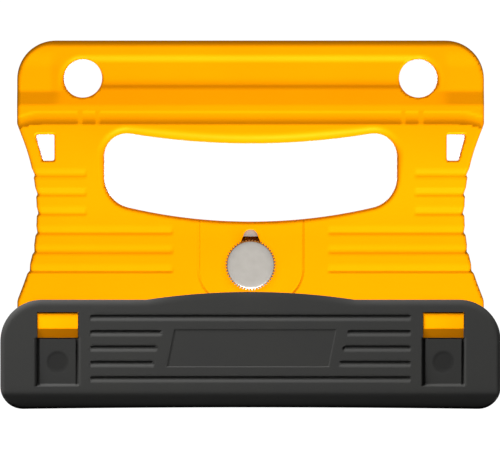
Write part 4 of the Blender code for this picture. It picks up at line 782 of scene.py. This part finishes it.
# Painted shade: within about 4.4 mm of each pin mark's centre, on both sides, the colour is blended towards
# near black.
pin_shade_centre = np.array([LATCH_X, PIN_Y, COVER_FRONT - 1.2]) * 0.001
reach = add(tree, "ShaderNodeVectorMath", {0: folded.outputs["Vector"], 1: pin_shade_centre}, operation="DISTANCE")
pin_shade = add(tree, "ShaderNodeMapRange", {
    "Value": reach.outputs["Value"], "To Max": 0.32,
    "From Min": PIN_R * 0.00105, "From Max": PIN_R * 0.00085})
shade = add(tree, "ShaderNodeMix", {
    "Factor": pin_shade.outputs["Result"], "A": tone.outputs["Result"], "B": linear("#050505")}, data_type="RGBA")
tree.links.new(shade.outputs["Result"], shader.inputs["Base Color"])
tree.links.new(rough.outputs["Result"], shader.inputs["Roughness"])
tree.links.new(relief.outputs["Normal"], shader.inputs["Normal"])
shader.inputs["IOR"].default_value = 1.49
shader.inputs["Specular IOR Level"].default_value = 0.1
cover.data.materials.append(black_pp)
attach(cover, "cover")
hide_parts("blade_cover")

# Stage: a plain sheet of opal plastic that is lit from behind, so that it stays white under the tool.
# It is open from below so that the back of the tool can be looked at.
span, sunk = 6.0, -0.0002
sheet = bpy.data.meshes.new("studio_sheet")
corners = [(-span, -span, sunk), (span, -span, sunk), (span, span, sunk), (-span, span, sunk)]
sheet.from_pydata(corners, [], [(0, 1, 2, 3)])
floor = bpy.data.objects.new("studio_sheet", sheet)
bpy.context.scene.collection.objects.link(floor)
opal, tree, shader, place = new_material("opal_acrylic")
shader.inputs["Base Color"].default_value = linear("#303030")
shader.inputs["Roughness"].default_value = 0.9
shader.inputs["Emission Color"].default_value = linear("#ffffff")
shader.inputs["Emission Strength"].default_value = 1.02
facing = add(tree, "ShaderNodeNewGeometry", {})
clear = add(tree, "ShaderNodeBsdfTransparent", {})
seen = add(tree, "ShaderNodeMixShader", {
    "Fac": facing.outputs["Backfacing"], 1: shader.outputs["BSDF"], 2: clear.outputs["BSDF"]})
tree.links.new(seen.outputs["Shader"], tree.nodes["Material Output"].inputs["Surface"])
floor.data.materials.append(opal)

# Studio light: a softbox low on the blade's side for the handle, its twin for the knob and inner pieces,
# two above for yellow plastic and metal, one low on the grip's left for the cover and its lugs with a weak
# fill across from it, and one below for the back. The sheet lights only the cover; the surround is grey.
def softbox(name, place, size, power, receivers, blockers):
    """A square area light that looks at the tool, with the pieces that it lights and that shade it."""
    lamp = bpy.data.lights.new(name, "AREA")
    lamp.shape, lamp.size, lamp.energy = "SQUARE", size, power
    holder = bpy.data.objects.new(name, lamp)
    holder.location = place
    holder.rotation_euler = (-holder.location).to_track_quat("-Z", "Y").to_euler()
    holder.visible_camera = False
    bpy.context.scene.collection.objects.link(holder)
    holder.light_linking.receiver_collection = receivers
    holder.light_linking.blocker_collection = blockers


def group(name, starts, chosen=True):
    """A collection for light linking, of the meshes whose names start, or don't, with one of these."""
    made = bpy.data.collections.new(name)
    for obj in bpy.data.objects:
        if obj.type == "MESH" and obj.name.startswith(starts) == chosen:
            made.objects.link(obj)
    return made


CAPPED, KNOB = ("blade_cover", "latch_"), "clamp_knob"
OPEN = ("front_shell", "clamp_stud", "clamp_washer", "guide_plate")
outer_pieces = group("outer_pieces", OPEN)
inner_pieces = group("inner_pieces", (*CAPPED, *OPEN), False)
dull_pieces = group("dull_pieces", ("front_shell", "latch_"))
bright_metal = group("bright_metal", (*CAPPED, "front_shell", "rear_shell"), False)
capped_pieces = group("capped_pieces", CAPPED)
back_pieces = group("back_pieces", ("rear_shell", "shell_screw"))
cover_alone = group("cover_alone", "blade_cover")
low_pieces = group("low_pieces", ("blade_cover", KNOB), False)
all_but_cover = group("all_but_cover", "blade_cover", False)
everything = group("everything", "studio", False)
all_but_knob = group("all_but_knob", KNOB, False)
softbox("handle_key", (0.176, -0.827, 0.534), 0.6, 21.5, outer_pieces, low_pieces)
softbox("inner_key", (0.0, -0.845, 0.534), 0.6, 21.5, inner_pieces, all_but_cover)
softbox("overhead", (0.0, 0.2, 0.75), 0.5, 2.5, dull_pieces, everything)
softbox("metal_overhead", (0.0, 0.05, 0.9), 0.7, 1.2, bright_metal, all_but_cover)
softbox("cover_key", (-0.45, 0.79, 0.42), 0.6, 36.0, capped_pieces, all_but_knob)
softbox("cover_fill", (0.0, -0.8, 0.5), 0.6, 0.35, cover_alone, cover_alone)
softbox("under", (0.0, 0.0, -0.9), 0.8, 10.0, back_pieces, everything)
floor.light_linking.receiver_collection = cover_alone
world = bpy.data.worlds.new("grey_surround")
world.use_nodes = True
tree = world.node_tree
aim = add(tree, "ShaderNodeTexCoord", {})
split = add(tree, "ShaderNodeSeparateXYZ", {"Vector": aim.outputs["Generated"]})
dim = add(tree, "ShaderNodeMapRange", {"Value": split.outputs["Z"], "To Min": 0.1, "To Max": 0.2})
tree.links.new(dim.outputs["Result"], tree.nodes["Background"].inputs["Strength"])
tree.nodes["Background"].inputs["Color"].default_value = (1, 1, 1, 1)
bpy.context.scene.world = world
bpy.context.scene.view_settings.view_transform = "Standard"

# Camera: straight above the front face, with a long lens so that the sides of holes don't show.
# One pixel of the 500 x 450 frame covers 0.384 mm at the height of the front faces.
camera = bpy.data.objects.new("camera", bpy.data.cameras.new("camera"))
away, sensor, frame_width = 3.0, 36.0, 500 * 0.3842e-3
camera.data.sensor_width = sensor
camera.data.lens = sensor * away / frame_width
camera.location = (-0.00022, -0.0003, 0.0145 + away)
camera.data.clip_start, camera.data.clip_end = 0.1, 20.0
bpy.context.scene.collection.objects.link(camera)
bpy.context.scene.camera = camera
